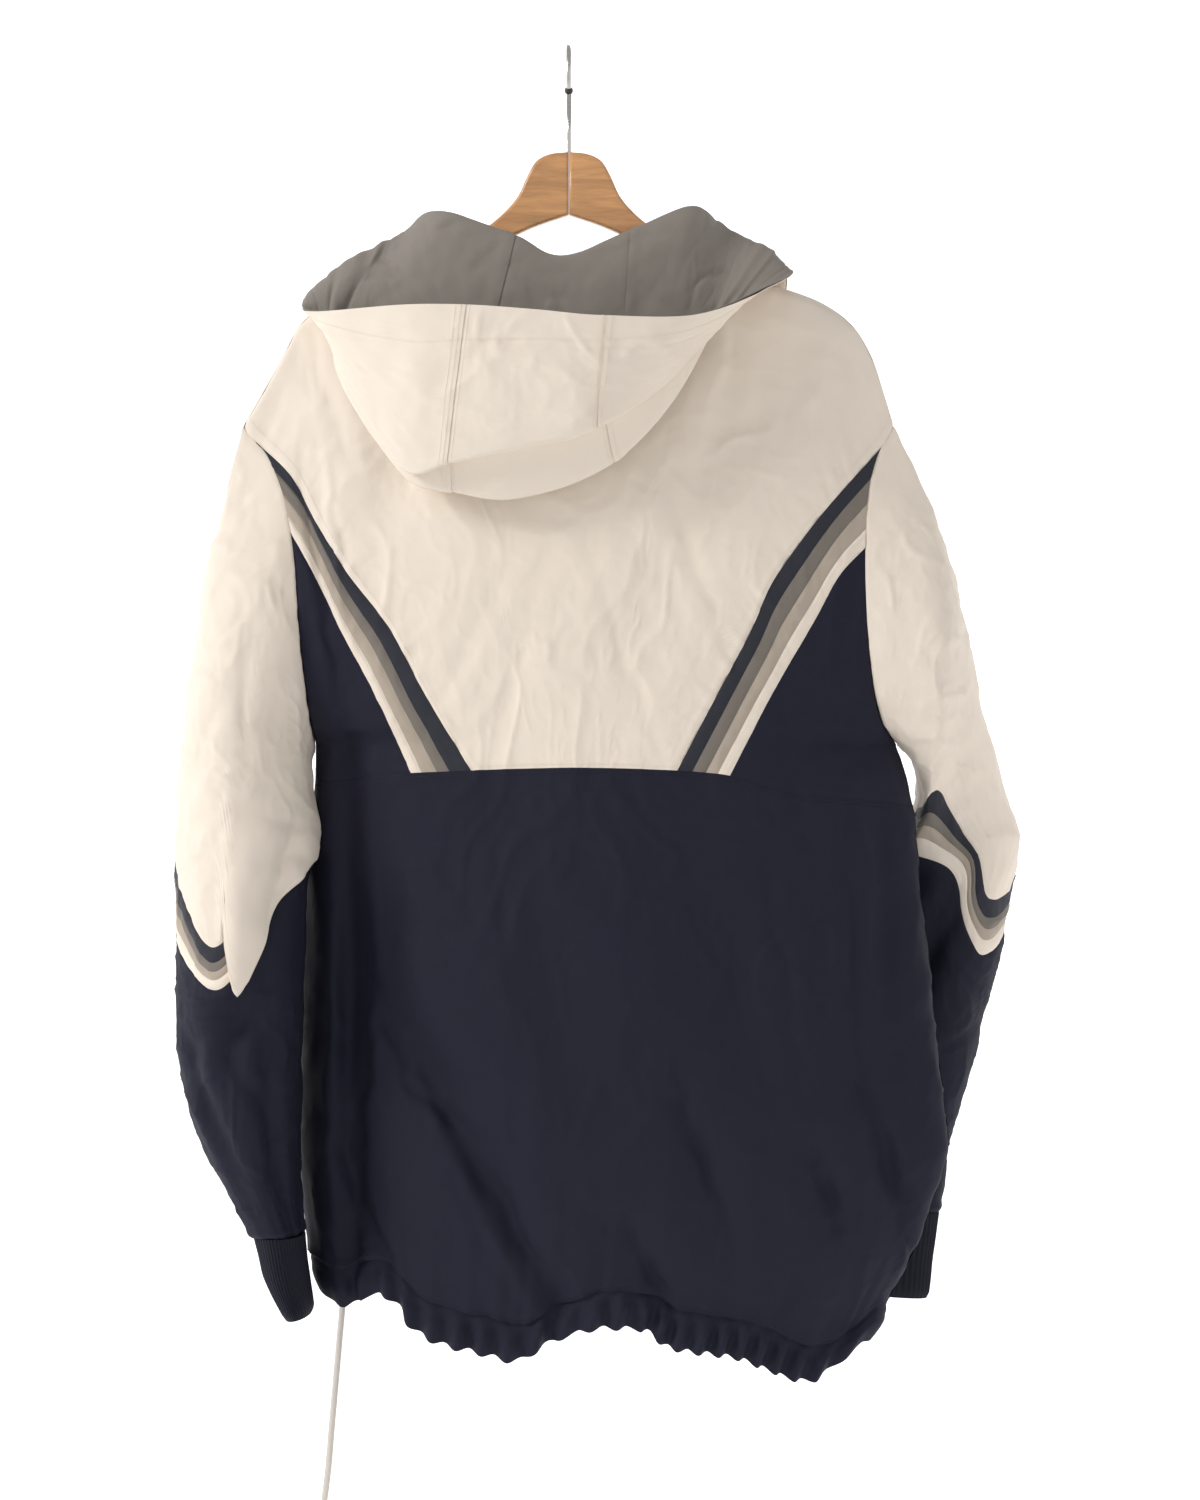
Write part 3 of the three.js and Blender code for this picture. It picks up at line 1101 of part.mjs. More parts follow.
function buildArm(name) {
  const mirror = -sign(name);
  const lift = (x) => (name === "right" ? (ARM_LIFT_RIGHT * Math.max(0, -x - 100)) / 100 : 0);
  const shape = new THREE.Shape();
  const place = ([x, z]) => new THREE.Vector2(x, z + lift(x));
  const top = new THREE.SplineCurve(ARM_TOP.map(place)).getPoints(18);
  const end = new THREE.SplineCurve([ARM_TOP.at(-1), ...ARM_END, ARM_UNDER[0]].map(place)).getPoints(8);
  const under = new THREE.SplineCurve(ARM_UNDER.map(place)).getPoints(10);
  shape.setFromPoints([...top, ...end.slice(1, -1), ...under].reverse());
  const depth = ARM_THICK - 2 * ARM_BEVEL;
  const options = { depth, bevelThickness: ARM_BEVEL, bevelSize: ARM_BEVEL, bevelOffset: -ARM_BEVEL, bevelSegments: 2 };
  const geometry = new THREE.ExtrudeGeometry(shape, options);
  geometry.rotateX(Math.PI / 2).translate(0, depth / 2, 0);
  // The joint's face is cut square, clear of the other half.
  const half = new THREE.BoxGeometry(400, 60, 300).translate(-200 - SEAM_HALF, 0, -150);
  const positions = solidOf(geometry).intersect(solidOf(half));
  const cut = geometryOf(positions);
  if (mirror < 0) {
    cut.scale(-1, 1, 1);
    cut.index.array.reverse();
  }
  add(`hanger_arm_${name}`, cut, "wood");
}

// A tube of even radius along a smooth curve.
function tube(points, radius, steps, sides) {
  const shape = new THREE.Shape();
  share(sides).slice(0, -1).forEach((t, i) => {
    const x = radius * Math.cos(2 * Math.PI * t);
    const y = radius * Math.sin(2 * Math.PI * t);
    if (i) shape.lineTo(x, y);
    else shape.moveTo(x, y);
  });
  const curve = new THREE.CatmullRomCurve3(points.map(vector), false, "centripetal");
  return new THREE.ExtrudeGeometry(shape, { steps, extrudePath: curve, bevelEnabled: false });
}

const HOOK_RADIUS = 22; // middle of the wire
function buildHook() {
  const middle = WIRE - HOOK_RADIUS;
  const arc = share(14).map((t) => {
    const turn = mix(-0.45, Math.PI + 0.65, t);
    return [0, HOOK_RADIUS * Math.cos(turn), middle + HOOK_RADIUS * Math.sin(turn)];
  });
  const stem = [[0, 0, -76.6], [0, 0, -68], [0, 0, -58], [0, 4, -47], [0, 12, -38.5]];
  add("hanger_hook", tube([...stem, ...arc], WIRE, 36, 8), "steel");
}

// The eyelet on the casing that the drawstring comes out of, and its free end.
const EYELET = { x: -166, z: -916, outer: 5.5, hole: 3.1, thick: 1.4, off: 2.7 };
const eyeletFace = () => {
  const normal = bodyNormal(1, EYELET.x, EYELET.z).setZ(0).normalize();
  return { normal, point: vector(bodyPoint(1, EYELET.x, EYELET.z)).addScaledVector(normal, EYELET.off) };
};

function buildEyelet() {
  const { hole, outer, thick } = EYELET;
  const profile = [[hole, 0], [outer, 0], [outer - 0.6, thick], [hole, thick], [hole, 0]].map(([x, y]) => new THREE.Vector2(x, y));
  const ring = new THREE.LatheGeometry(profile, 20);
  const { normal, point } = eyeletFace();
  const turn = new THREE.Quaternion().setFromUnitVectors(new THREE.Vector3(0, 1, 0), normal);
  ring.applyQuaternion(turn).translate(point.x, point.y, point.z);
  add("drawcord_eyelet", ring, "steel");
}

function buildCord() {
  add("drawcord", tube(CORD_ROUTE, CORD_RADIUS, 20, 8), "cord");
}

buildYoke();
const lowerGrid = buildBackLower();
buildHem("hem_back", -1, lowerGrid.at(-1), 2, 24);
for (const name of ["left", "right"]) {
  buildStripes(name);
  buildSidePanel(name);
  buildFrontUpper(name);
  const low = buildFrontLower(name, lowerGrid);
  buildHem(`hem_front_${name}`, 1, low, 4, 9);
  buildSleeve(name);
  buildCuff(name);
  buildArm(name);
  const near = sign(name) * (CHAIN_HALF + 2 * SEAM_HALF);
  const behind = [-CLOTH - TAPE_BEHIND, -CLOTH - 3 * TAPE_BEHIND];
  zipStrip(`zip_tape_${name}`, "zip", [near, sign(name) * ZIP_TAPE], behind, TAPE_THICK);
}
for (const part of ["left", "centre", "right"]) {
  buildHoodPart(part, "shell", "white");
  buildHoodPart(part, "lining", "lining");
}
zipStrip("zip_chain", "zip", [-CHAIN_HALF, CHAIN_HALF], [0.2, 0.2], CHAIN_THICK);
buildSlider();
buildPullTab();
buildHook();
buildEyelet();
buildCord();

export default jacket;
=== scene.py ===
# A hooded windbreaker jacket hanging on a curved wooden hanger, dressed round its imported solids.
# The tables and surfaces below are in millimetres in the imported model's frame: +Z up, the jacket's back
# faces -Y, and the origin is the inside top of the hanger's hook. Meshes are written in metres.
import json
import math

import bmesh
import bpy
import numpy as np
from bpy.props import FloatProperty, FloatVectorProperty, PointerProperty
from mathutils import Matrix, Vector


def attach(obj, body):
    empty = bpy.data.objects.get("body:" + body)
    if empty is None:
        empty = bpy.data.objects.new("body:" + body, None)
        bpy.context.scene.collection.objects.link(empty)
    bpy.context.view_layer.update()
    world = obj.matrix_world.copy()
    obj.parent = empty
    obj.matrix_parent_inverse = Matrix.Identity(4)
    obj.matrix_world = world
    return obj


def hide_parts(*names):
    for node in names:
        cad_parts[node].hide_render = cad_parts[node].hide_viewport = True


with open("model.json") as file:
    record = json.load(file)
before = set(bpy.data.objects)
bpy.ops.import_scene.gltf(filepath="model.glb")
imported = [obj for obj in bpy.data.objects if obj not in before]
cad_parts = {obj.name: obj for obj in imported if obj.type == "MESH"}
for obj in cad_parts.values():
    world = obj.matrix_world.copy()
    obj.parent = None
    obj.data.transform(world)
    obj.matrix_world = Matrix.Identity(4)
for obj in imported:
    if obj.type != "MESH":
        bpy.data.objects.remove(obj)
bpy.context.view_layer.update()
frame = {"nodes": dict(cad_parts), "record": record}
SLOT_COLOURS = {row["slot"]: row["base_color"][:3] for row in frame["record"]["materials"]}
CAD_NODES = frame["nodes"]

bl_info = {
    "name": "Hooded windbreaker on a hanger",
    "version": (1, 0, 0),
    "blender": (4, 5, 0),
    "location": "3D View > Sidebar > Jacket",
    "description": "Builds the cloth, trims and hanger of a hooded windbreaker round its packed solids",
    "category": "Object",
}

MM = 0.001
SIDES = ("left", "right")
BACK, FRONT = -1, 1

TIP_Z = -281.0  # the armhole's top
UNDERARM_Z = -522.0
CREST_ROUND = 6.0  # height over which the shoulder's crest rounds over
HEM_HEIGHT = 26.0
ZIP_GAP = 5.0  # each front ends this far from the zip's middle
CAD_CLOTH = 1.2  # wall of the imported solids

# Heights of the body: z, left and right edge, how far back and front stand out, half the thickness at the
# edge, where the left and right edges lie front to back, and the roundness of the section.
BODY = np.array([
    (-150, -88, 88, 12, 12, 8.5, 0, 0, 1),
    (-158, -106, 106, 13, 13, 8.5, 0, 0, 1),
    (-172, -142, 141, 15, 16, 8.5, 0, 0, 1),
    (-188, -179, 186, 18, 19, 8.5, 0, 0, 1),
    (-206, -202, 212, 22, 22, 8.5, 0, 0, 1),
    (-230, -215, 227, 27, 27, 8.5, 0, 0, 1),
    (-257, -230, 236, 34, 33, 8, 0, 0, 1),
    (-281, -244, 243, 39, 38, 7, 0, 0, 1),
    (-304, -226, 231, 44, 42, 14, 0, 0, 1),
    (-334, -213, 223, 49, 47, 24, 0, 0, 1),
    (-379, -204, 220, 56, 53, 34, 0, 0, 1),
    (-430, -200, 221, 62, 58, 39, 0, 0, 1),
    (-478, -195, 226, 67, 62, 35, 0, 0, 0.9),
    (-506, -192, 234, 70, 65, 22, 0, -2, 0.75),
    (-522, -190, 246, 71, 66, 0, 0, -4, 0.62),
    (-562, -192, 257, 75, 69, 0, 14, -10, 0.5),
    (-638, -204, 263, 81, 74, 0, 38, -22, 0.5),
    (-712, -206, 271, 86, 79, 0, 42, -30, 0.5),
    (-788, -206, 279, 88, 82, 0, 42, -32, 0.5),
    (-820, -206, 282, 87, 81, 0, 40, -30, 0.5),
    (-862, -201, 271, 82, 77, 0, 34, -25, 0.5),
    (-900, -194, 259, 74, 71, 0, 20, -16, 0.5),
    (-932, -189, 243, 66, 64, 0, 0, -8, 0.5),
    (-966, -188, 226, 58, 57, 0, 0, -2, 0.5),
    (-1000, -186, 212, 54, 54, 0, 0, 0, 0.5),
], float)
BODY_COLUMNS = {
    name: k for k, name in enumerate(
        ("z", "left", "right", "back", "front", "side", "y_left", "y_right", "round"))
}
SHOULDER_ROWS = 8
NECK_HALF = 88.0  # the shoulder's crest ends at this distance from the middle
NECK_CREST_Z = -140.0

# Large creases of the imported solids: from x, z to x, z, half width, depth. A negative depth is a ridge.
BACK_FOLDS = [
    (-190, -345, -172, -470, 9, 9), (-163, -575, -160, -905, 13, 20), (-176, -600, -178, -900, 9, -7),
    (-132, -590, -128, -720, 12, 8), (-139, -705, -72, -806, 16, 8), (-166, -820, -128, -915, 14, 8),
    (-84, -790, -8, -930, 16, 11), (50, -884, 74, -940, 15, 8), (88, -786, 112, -862, 16, 7),
    (184, -826, 196, -873, 14, 8), (222, -780, 250, -890, 14, 9), (232, -600, 240, -740, 13, 7),
    (-30, -600, 4, -760, 30, 5), (90, -600, 130, -740, 28, 5), (-120, -250, -150, -400, 22, 4),
    (120, -300, 60, -430, 24, 4),
]
FRONT_FOLDS = [
    (-120, -560, -110, -900, 20, 10), (-60, -640, -55, -900, 18, 8), (70, -600, 60, -900, 20, 10),
    (140, -620, 120, -920, 22, 9), (-150, -320, -100, -450, 22, 5), (150, -320, 100, -450, 22, 5),
]
# Sharp creases that only the dressed cloth has, in the same columns.
BACK_CREASES = [
    (-82, -800, -10, -925, 5, 3.2), (-70, -850, -20, -945, 4, -1.6), (-139, -712, -115, -770, 4.5, 2.4),
    (-115, -770, -72, -804, 4.5, 2.2), (-166, -827, -127, -915, 5, 2.6), (88, -787, 112, -859, 4.5, 2.2),
    (50, -884, 74, -942, 4.5, 2.4), (184, -828, 196, -871, 4, 2.2), (222, -791, 256, -894, 5, 2.8),
    (-150, -700, -156, -880, 4, 2), (205, -600, 214, -760, 5, 1.8), (-52, -600, -38, -700, 6, 0.9),
    (150, -640, 170, -760, 6, 1.2), (-196, -340, -176, -440, 3.5, 2.6), (-180, -330, -168, -420, 3, -1.4),
    (-60, -420, -110, -520, 6, 0.9), (70, -330, 118, -450, 6, 1.0), (20, -380, 60, -520, 7, 0.9),
    (-20, -400, -52, -520, 7, 0.8), (130, -210, 96, -330, 8, 1.2), (-140, -230, -118, -330, 8, 1.0),
    (170, -240, 150, -330, 6, 1.0), (-190, -240, -168, -300, 6, 1.0),
]
FRONT_CREASES = [
    (-150, -600, -130, -780, 6, 2), (60, -700, 90, -860, 6, 2), (150, -640, 130, -820, 6, 2),
    (-80, -760, -50, -900, 5, 2),
]

BACK_SEAM = np.array([
    (-192, -549), (-116, -542), (0, -538), (80, -540), (119, -544), (163, -556), (224, -562), (262, -566),
], float)
HEM_BACK = np.array([
    (-192, -930), (-172, -939), (-150, -930), (-138, -930), (-112, -956), (-60, -970), (-35, -974),
    (-14, -962), (18, -950), (58, -952), (78, -964), (134, -973), (160, -982), (190, -992), (208, -990),
    (232, -966),
], float)
HEM_FRONT = np.array([(-192, -930), (-120, -940), (0, -950), (120, -960), (232, -966)], float)
HEM_SIDE_Z = {"left": -930.0, "right": -966.0}

STRIPE_SLOTS = {"dark": "stripe_dark", "grey": "stripe_grey", "light": "stripe_light", "white": "shell_white"}
# Each side's stripes: the upper and lower edge, where the four meet the armhole and the level seam, and the
# shares of the band's width at which they join.
STRIPES = {
    "left": {
        "upper": [(-229, -295), (-204, -320), (-185, -356), (-163, -393), (-132, -435), (-106, -484),
                  (-72, -541.7)],
        "lower": [(-207, -364), (-188, -397), (-171, -432), (-142, -486), (-116, -542)],
        "shares": (0, 0.34, 0.57, 0.815, 1),
        "armhole": (-295, -316, -334.5, -351, -364),
        "seam": (-72, -88, -97, -108, -116),
    },
    "right": {
        "upper": [(232.5, -298.5), (190, -346.5), (169.5, -373), (148, -405), (136, -433.5),
                  (109.5, -484), (80, -540)],
        "lower": [(220, -375), (201, -395), (182, -429), (148, -487.5), (118.5, -544)],
        "shares": (0, 0.3, 0.56, 0.8, 1),
        "armhole": (-298.5, -322.5, -342, -361, -375),
        "seam": (80, 91, 101, 109.5, 118.5),
    },
}

# Sections of a sleeve: share of its length, outer point, inner point, half depth.
SLEEVES = {
    "left": np.array([
        (0, -244, 0, -281, -190, 0, -522, 34), (0.1, -262, -4, -352, -193, -2, -532, 48),
        (0.2, -275, -10, -428, -193, -10, -548, 58), (0.3, -284, -16, -488, -193, -18, -568, 64),
        (0.42, -290, -24, -560, -193, -28, -604, 68), (0.52, -291, -30, -630, -195, -34, -650, 70),
        (0.6, -291, -32, -690, -197, -36, -700, 70), (0.7, -290, -32, -740, -198, -36, -745, 68),
        (0.8, -283, -30, -785, -199, -34, -790, 64), (0.9, -266, -28, -830, -200, -30, -835, 55),
        (0.96, -249, -26, -862, -199, -27, -862, 48), (1, -236, -25, -884, -197, -25, -884, 43),
    ], float),
    "right": np.array([
        (0, 243, 0, -281, 246, 0, -522, 34), (0.1, 267, 0, -330, 257, 5, -532, 44),
        (0.2, 285, 4, -380, 262, 14, -545, 55), (0.3, 297, 10, -430, 264, 34, -560, 60),
        (0.42, 313, 18, -503, 258, 62, -586, 56), (0.52, 329, 26, -568, 248, 86, -616, 52),
        (0.56, 338, 30, -595, 245, 92, -632, 50), (0.62, 329, 34, -636, 240, 98, -660, 50),
        (0.7, 322, 40, -684, 232, 106, -700, 48), (0.78, 311, 46, -726, 226, 112, -740, 46),
        (0.86, 297, 54, -785, 218, 117, -792, 42), (0.93, 286, 62, -832, 210, 120, -838, 36),
        (1, 283, 72, -880, 203, 120, -880, 27),
    ], float),
}
CUFFS = {
    "left": np.array([
        (0, -234, -25, -884.4, -196.5, -25, -884.4, 42), (0.5, -226, -24, -917, -194, -24, -913, 41),
        (1, -211, -23, -947, -189.5, -23, -942, 42),
    ], float),
    "right": np.array([
        (0, 282, 73, -880.4, 204, 119, -880.4, 25), (0.5, 278, 76, -914, 201, 119, -912, 23),
        (1, 275, 79, -947, 198, 119, -943, 22),
    ], float),
}
# Large creases of a sleeve: share, turn, half lengths along and round it, depth, and turn per share fallen.
SLEEVE_FOLDS = {
    "left": [
        (0.46, 2.35, 0.12, 0.28, 12, -2.4), (0.68, 1.7, 0.09, 0.3, 10, -2.5), (0.8, 1.0, 0.12, 0.25, 9, 2),
        (0.8, 2.3, 0.16, 0.24, 8, 0.5), (0.55, 4.6, 0.14, 0.4, 8, 1), (0.8, 4.9, 0.14, 0.3, 8, -1),
    ],
    "right": [
        (0.5, 0.95, 0.14, 0.42, 7, -1.4), (0.42, 2.5, 0.09, 0.25, 8, -1), (0.7, 1.3, 0.1, 0.3, 9, 1.6),
        (0.82, 1.9, 0.13, 0.25, 7, 0.6), (0.6, 4.6, 0.16, 0.4, 8, 1),
    ],
}
# Sharp creases that only the dressed sleeves have, in the same columns.
SLEEVE_CREASES = {
    "left": [
        (0.62, 1.2, 0.04, 0.5, 3.5, 14), (0.67, 1.6, 0.03, 0.5, 3, -12), (0.5, 2.2, 0.03, 0.5, 3, -14),
        (0.44, 2.5, 0.025, 0.6, 2.5, -16), (0.38, 2.3, 0.03, 0.5, 2, -14), (0.76, 1.9, 0.05, 0.2, 3, 6),
        (0.86, 1.3, 0.05, 0.16, 2.6, 3), (0.88, 2.2, 0.05, 0.16, 2.6, -3), (0.22, 1.5, 0.1, 0.12, 1.6, 2),
        (0.3, 1.0, 0.1, 0.14, 1.4, -3), (0.14, 2.0, 0.08, 0.12, 1.6, 1), (0.72, 0.8, 0.05, 0.2, 2.6, -8),
    ],
    "right": [
        (0.34, 1.9, 0.04, 0.3, 3, -9), (0.42, 1.6, 0.04, 0.35, 3, -9), (0.5, 1.3, 0.04, 0.3, 3.4, -8),
        (0.66, 1.0, 0.05, 0.2, 3, 4), (0.76, 1.4, 0.06, 0.2, 3, 3), (0.86, 1.7, 0.06, 0.16, 2.6, -2),
        (0.2, 1.5, 0.1, 0.12, 1.6, -2), (0.3, 0.9, 0.08, 0.14, 1.6, -4), (0.56, 0.5, 0.04, 0.3, 2.6, -8),
    ],
}
# A sleeve's chevron round the tube: turn, where its upper edge lies along the sleeve, and its width.
CHEVRONS = {
    "left": np.array([
        (-1.87, 0.36, 0.06), (0, 0.472, 0.066), (0.6, 0.516, 0.057), (1.27, 0.562, 0.048),
        (1.62, 0.545, 0.05), (2.2, 0.46, 0.055), (3.14, 0.355, 0.058), (4.41, 0.36, 0.06),
    ], float),
    "right": np.array([
        (-0.35, 0.617, 0.055), (0.3, 0.618, 0.072), (0.6, 0.58, 0.076), (0.9, 0.505, 0.09),
        (1.57, 0.405, 0.115), (2.4, 0.37, 0.085), (3.4, 0.375, 0.06), (4.6, 0.47, 0.055),
        (5.933, 0.617, 0.055),
    ], float),
}
CHEVRON_SHARES = (0, 0.32, 0.52, 0.72, 1)
# At the left elbow the white cloth hangs over the chevron's inner half: first and last turn, how far it
# falls as a share of the sleeve, how far it stands off, and the share of its cloth where it turns under.
ELBOW_LIP = {"from": 1.34, "to": 3.7, "fall": 0.075, "off": 7.0, "turned": 0.86}

# Profiles of the folded hood from the zip round the neck to the zip: share, then x, y, z of the neck seam,
# the ridge, the pouch's bottom, the tuck's lower edge and the opening's band.
HOOD = np.array([
    (0, -5, 36, -240, -10, 41, -236, -15, 44, -239, -20, 46, -243, -26, 47, -249),
    (0.1, -38, 30, -222, -52, 36, -186, -72, 42, -190, -92, 44, -206, -108, 43, -228),
    (0.2, -78, 20, -192, -94, 22, -140, -124, 27, -152, -150, 28, -171, -168, 28, -196),
    (0.235, -94, 12, -176, -102, 10, -131, -136, 9, -147, -165, 10, -162, -188, 9, -181),
    (0.27, -106, 0, -157, -107, -2, -124, -142, -6, -149, -174, -9, -169, -198, -12, -190),
    (0.34, -88, -11, -165, -90, -22, -125, -171, -34, -236, -173, -42, -233, -186, -47, -201),
    (0.385, -66, -13, -170, -66, -26, -134, -120, -66, -321, -122, -78, -317, -118, -82, -200),
    (0.42, -47, -14, -173, -40, -28, -144, -84, -70, -334, -88, -88, -314, -74, -90, -201),
    (0.5, 0, -15, -175, -6, -30, -160, -35, -70, -339, -32, -92, -301, -22, -94, -205),
    (0.58, 47, -14, -173, 46, -28, -140, 34, -65, -312, 21, -91, -288, 28, -92, -209),
    (0.64, 76, -12, -168, 90, -23, -121, 84, -52, -255, 76, -66, -251, 96, -78, -206),
    (0.73, 106, 0, -157, 108, -2, -130, 132, -14, -148, 150, -22, -158, 164, -28, -173),
    (0.765, 94, 12, -176, 103, 9, -134, 130, 5, -147, 150, 2, -156, 164, 0, -167),
    (0.8, 78, 20, -192, 94, 20, -140, 122, 24, -152, 146, 28, -170, 160, 30, -190),
    (0.9, 38, 30, -222, 52, 36, -186, 72, 42, -190, 92, 44, -206, 108, 43, -228),
    (1, 5, 36, -240, 10, 41, -236, 15, 44, -239, 20, 46, -243, 26, 47, -249),
], float)
HOOD_KEYS = (0, 0.1, 0.3, 0.5, 0.585, 0.66, 1)
HOOD_SPLITS = {"left": (0, 0.42), "centre": (0.42, 0.58), "right": (0.58, 1)}
POUCH_HEIGHT = 150.0  # from the ridge to the pouch's bottom, where the pouch is at its fullest
POUCH_ROUND = 4.0
TUCK_SHARE = 0.55
TUCK_RISE = 13.0

NECK_FRONT = [(106, -158), (101, -163.5), (78, -192), (38, -222), (5, -240)]
NECK_BACK = [(101, -161), (76, -168.5), (47, -173), (0, -175)]
NECK_KNOTS = (0, 0.09, 0.18, 0.235, 0.27, 0.29, 0.355, 0.42, 0.5)
NECK_BACK_FROM = 0.27

CORD_ROUTE = [
    (-167.3, 38.2, -916), (-169.5, 42.8, -916), (-171.4, 46.4, -919.5), (-172.4, 47.6, -932),
    (-173.2, 48, -950), (-175.4, 48.5, -975), (-178, 47.5, -1005), (-181, 46, -1040),
    (-184, 45.5, -1075), (-188, 46, -1105), (-192, 47, -1130),
]
CORD_DIAMETER = 5.0
CORD_STRANDS = 8
BRAID_PITCH = 3.2


NOISE_CELLS = 32


class SpaceNoise:
    """Smooth noise in space. It is the same for every piece, so creases run on across the seams."""

    def __init__(self, seed):
        self.table = np.random.default_rng(seed).random((NOISE_CELLS,) * 3)

    def __call__(self, points):
        cell = np.floor(points).astype(int)
        t = points - cell
        t = t * t * t * (t * (t * 6 - 15) + 10)
        total = 0
        for corner in np.ndindex(2, 2, 2):
            weight = 1
            for axis, far in enumerate(corner):
                weight = weight * (t[..., axis] if far else 1 - t[..., axis])
            i, j, k = ((cell[..., axis] + corner[axis]) % NOISE_CELLS for axis in range(3))
            total = total + weight * self.table[i, j, k]
        return 2 * total - 1


NOISE = SpaceNoise(7)
WARP = SpaceNoise(19)


def smooth(keys, values, at):
    """Smooth values through a table at given keys; the keys may rise or fall."""
    keys = np.asarray(keys, float)
    values = np.asarray(values, float)
    at = np.asarray(at, float)
    if keys[-1] < keys[0]:
        keys, at = -keys, -at
    count = len(keys)
    order = np.arange(count)
    before = np.maximum(order - 1, 0)
    after = np.minimum(order + 1, count - 1)
    extra = (1,) * (values.ndim - 1)
    slopes = (values[after] - values[before]) / (keys[after] - keys[before]).reshape(-1, *extra)
    t = np.clip(at, keys[0], keys[-1])
    i = np.clip(np.searchsorted(keys, t) - 1, 0, count - 2)
    step = (keys[i + 1] - keys[i]).reshape(i.shape + extra)
    share = ((t - keys[i]) / (keys[i + 1] - keys[i])).reshape(i.shape + extra)
    t2, t3 = share**2, share**3
    return (
        values[i] * (2 * t3 - 3 * t2 + 1) + slopes[i] * step * (t3 - 2 * t2 + share)
        + values[i + 1] * (3 * t2 - 2 * t3) + slopes[i + 1] * step * (t3 - t2)
    )


def mix(a, b, t):
    return a + (b - a) * t


def smooth_step(t):
    return t * t * (3 - 2 * t)


def by_share(places, t):
    """Smooth walk through places at even shares."""
    return smooth(np.linspace(0, 1, len(places)), np.asarray(places, float), t)


def straight(places, t):
    """Straight walk through places at even shares."""
    places = np.asarray(places, float)
    keys = np.linspace(0, 1, len(places))
    t = np.clip(t, 0, 1)
    return np.stack([np.interp(t, keys, places[:, axis]) for axis in range(places.shape[1])], axis=-1)


def line_through(points):
    """A smooth line through places, walked by the share of its length."""
    p = np.asarray(points, float)
    padded = np.vstack([2 * p[0] - p[1], p, 2 * p[-1] - p[-2]])
    walked = []
    for k in range(len(p) - 1):
        a, b, c, d = padded[k:k + 4]
        before, across, after = (max(np.linalg.norm(q - r), 1e-6) ** 0.5 for q, r in ((b, a), (c, b), (d, c)))
        start = (b - a) / before - (c - a) / (before + across) + (c - b) / across
        end = (c - b) / across - (d - b) / (across + after) + (d - c) / after
        start, end = start * across, end * across
        t = np.linspace(0, 1, 60, endpoint=k == len(p) - 2)[:, None]
        walked.append(b + start * t + (-3 * b + 3 * c - 2 * start - end) * t**2
                      + (2 * b - 2 * c + start + end) * t**3)
    walked = np.vstack(walked)
    length = np.concatenate([[0], np.cumsum(np.linalg.norm(np.diff(walked, axis=0), axis=1))])
    length /= length[-1]

    def walk(t):
        t = np.clip(t, 0, 1)
        return np.stack([np.interp(t, length, walked[:, axis]) for axis in range(walked.shape[1])], axis=-1)

    return walk


def fold_depth(folds, x, z):
    """How deep the large creases are at x and z."""
    total = np.zeros(np.broadcast(x, z).shape)
    for x0, z0, x1, z1, wide, deep in folds:
        length = math.hypot(x1 - x0, z1 - z0)
        run = ((x - x0) * (x1 - x0) + (z - z0) * (z1 - z0)) / length
        across = ((x - x0) * (z1 - z0) - (z - z0) * (x1 - x0)) / length
        past = np.maximum(0, np.maximum(-run, run - length)) / (0.35 * length)
        swell = 0.35 + 0.65 * np.sin(np.pi * np.clip(run / length, 0.12, 0.88))
        total += deep * swell * np.exp(-((across / wide) ** 2) - past * past)
    return total


def crease_depth(creases, x, z):
    """Sharp creases: a narrow trough with a softer ridge on either side, its line wandering a little."""
    wander = NOISE(np.stack([x / 22, z / 22, 0 * x], axis=-1)) * 3.5
    total = np.zeros(np.broadcast(x, z).shape)
    for x0, z0, x1, z1, wide, deep in creases:
        length = math.hypot(x1 - x0, z1 - z0)
        run = ((x - x0) * (x1 - x0) + (z - z0) * (z1 - z0)) / length
        across = ((x - x0) * (z1 - z0) - (z - z0) * (x1 - x0)) / length + wander
        past = np.maximum(0, np.maximum(-run, run - length)) / (0.3 * length)
        fade = np.exp(-past * past) * (0.4 + 0.6 * np.sin(np.pi * np.clip(run / length, 0.1, 0.9)))
        a = across / wide
        total += deep * fade * (np.exp(-a * a) - 0.45 * np.exp(-((np.abs(a) - 2.1) ** 2) / 1.6))
    return total


def body_edge(name, z):
    """A column of the body's table at z: most often the left or right edge."""
    return smooth(BODY[:, 0], BODY[:, BODY_COLUMNS[name]], z)


def body_share(x, z):
    """Share of the half turn from the left edge to the right at x and z."""
    left, right = body_edge("left", z), body_edge("right", z)
    return np.arccos(1 - 2 * np.clip((x - left) / (right - left), 0, 1)) / np.pi


def crest_z(x):
    """Height of the shoulder's crest over x."""
    rows = BODY[:SHOULDER_ROWS]
    left = smooth(-rows[:, 1], rows[:, 0], np.abs(x))
    right = smooth(rows[:, 2], rows[:, 0], np.abs(x))
    return np.where(np.abs(x) < NECK_HALF, NECK_CREST_Z, np.where(x < 0, left, right))


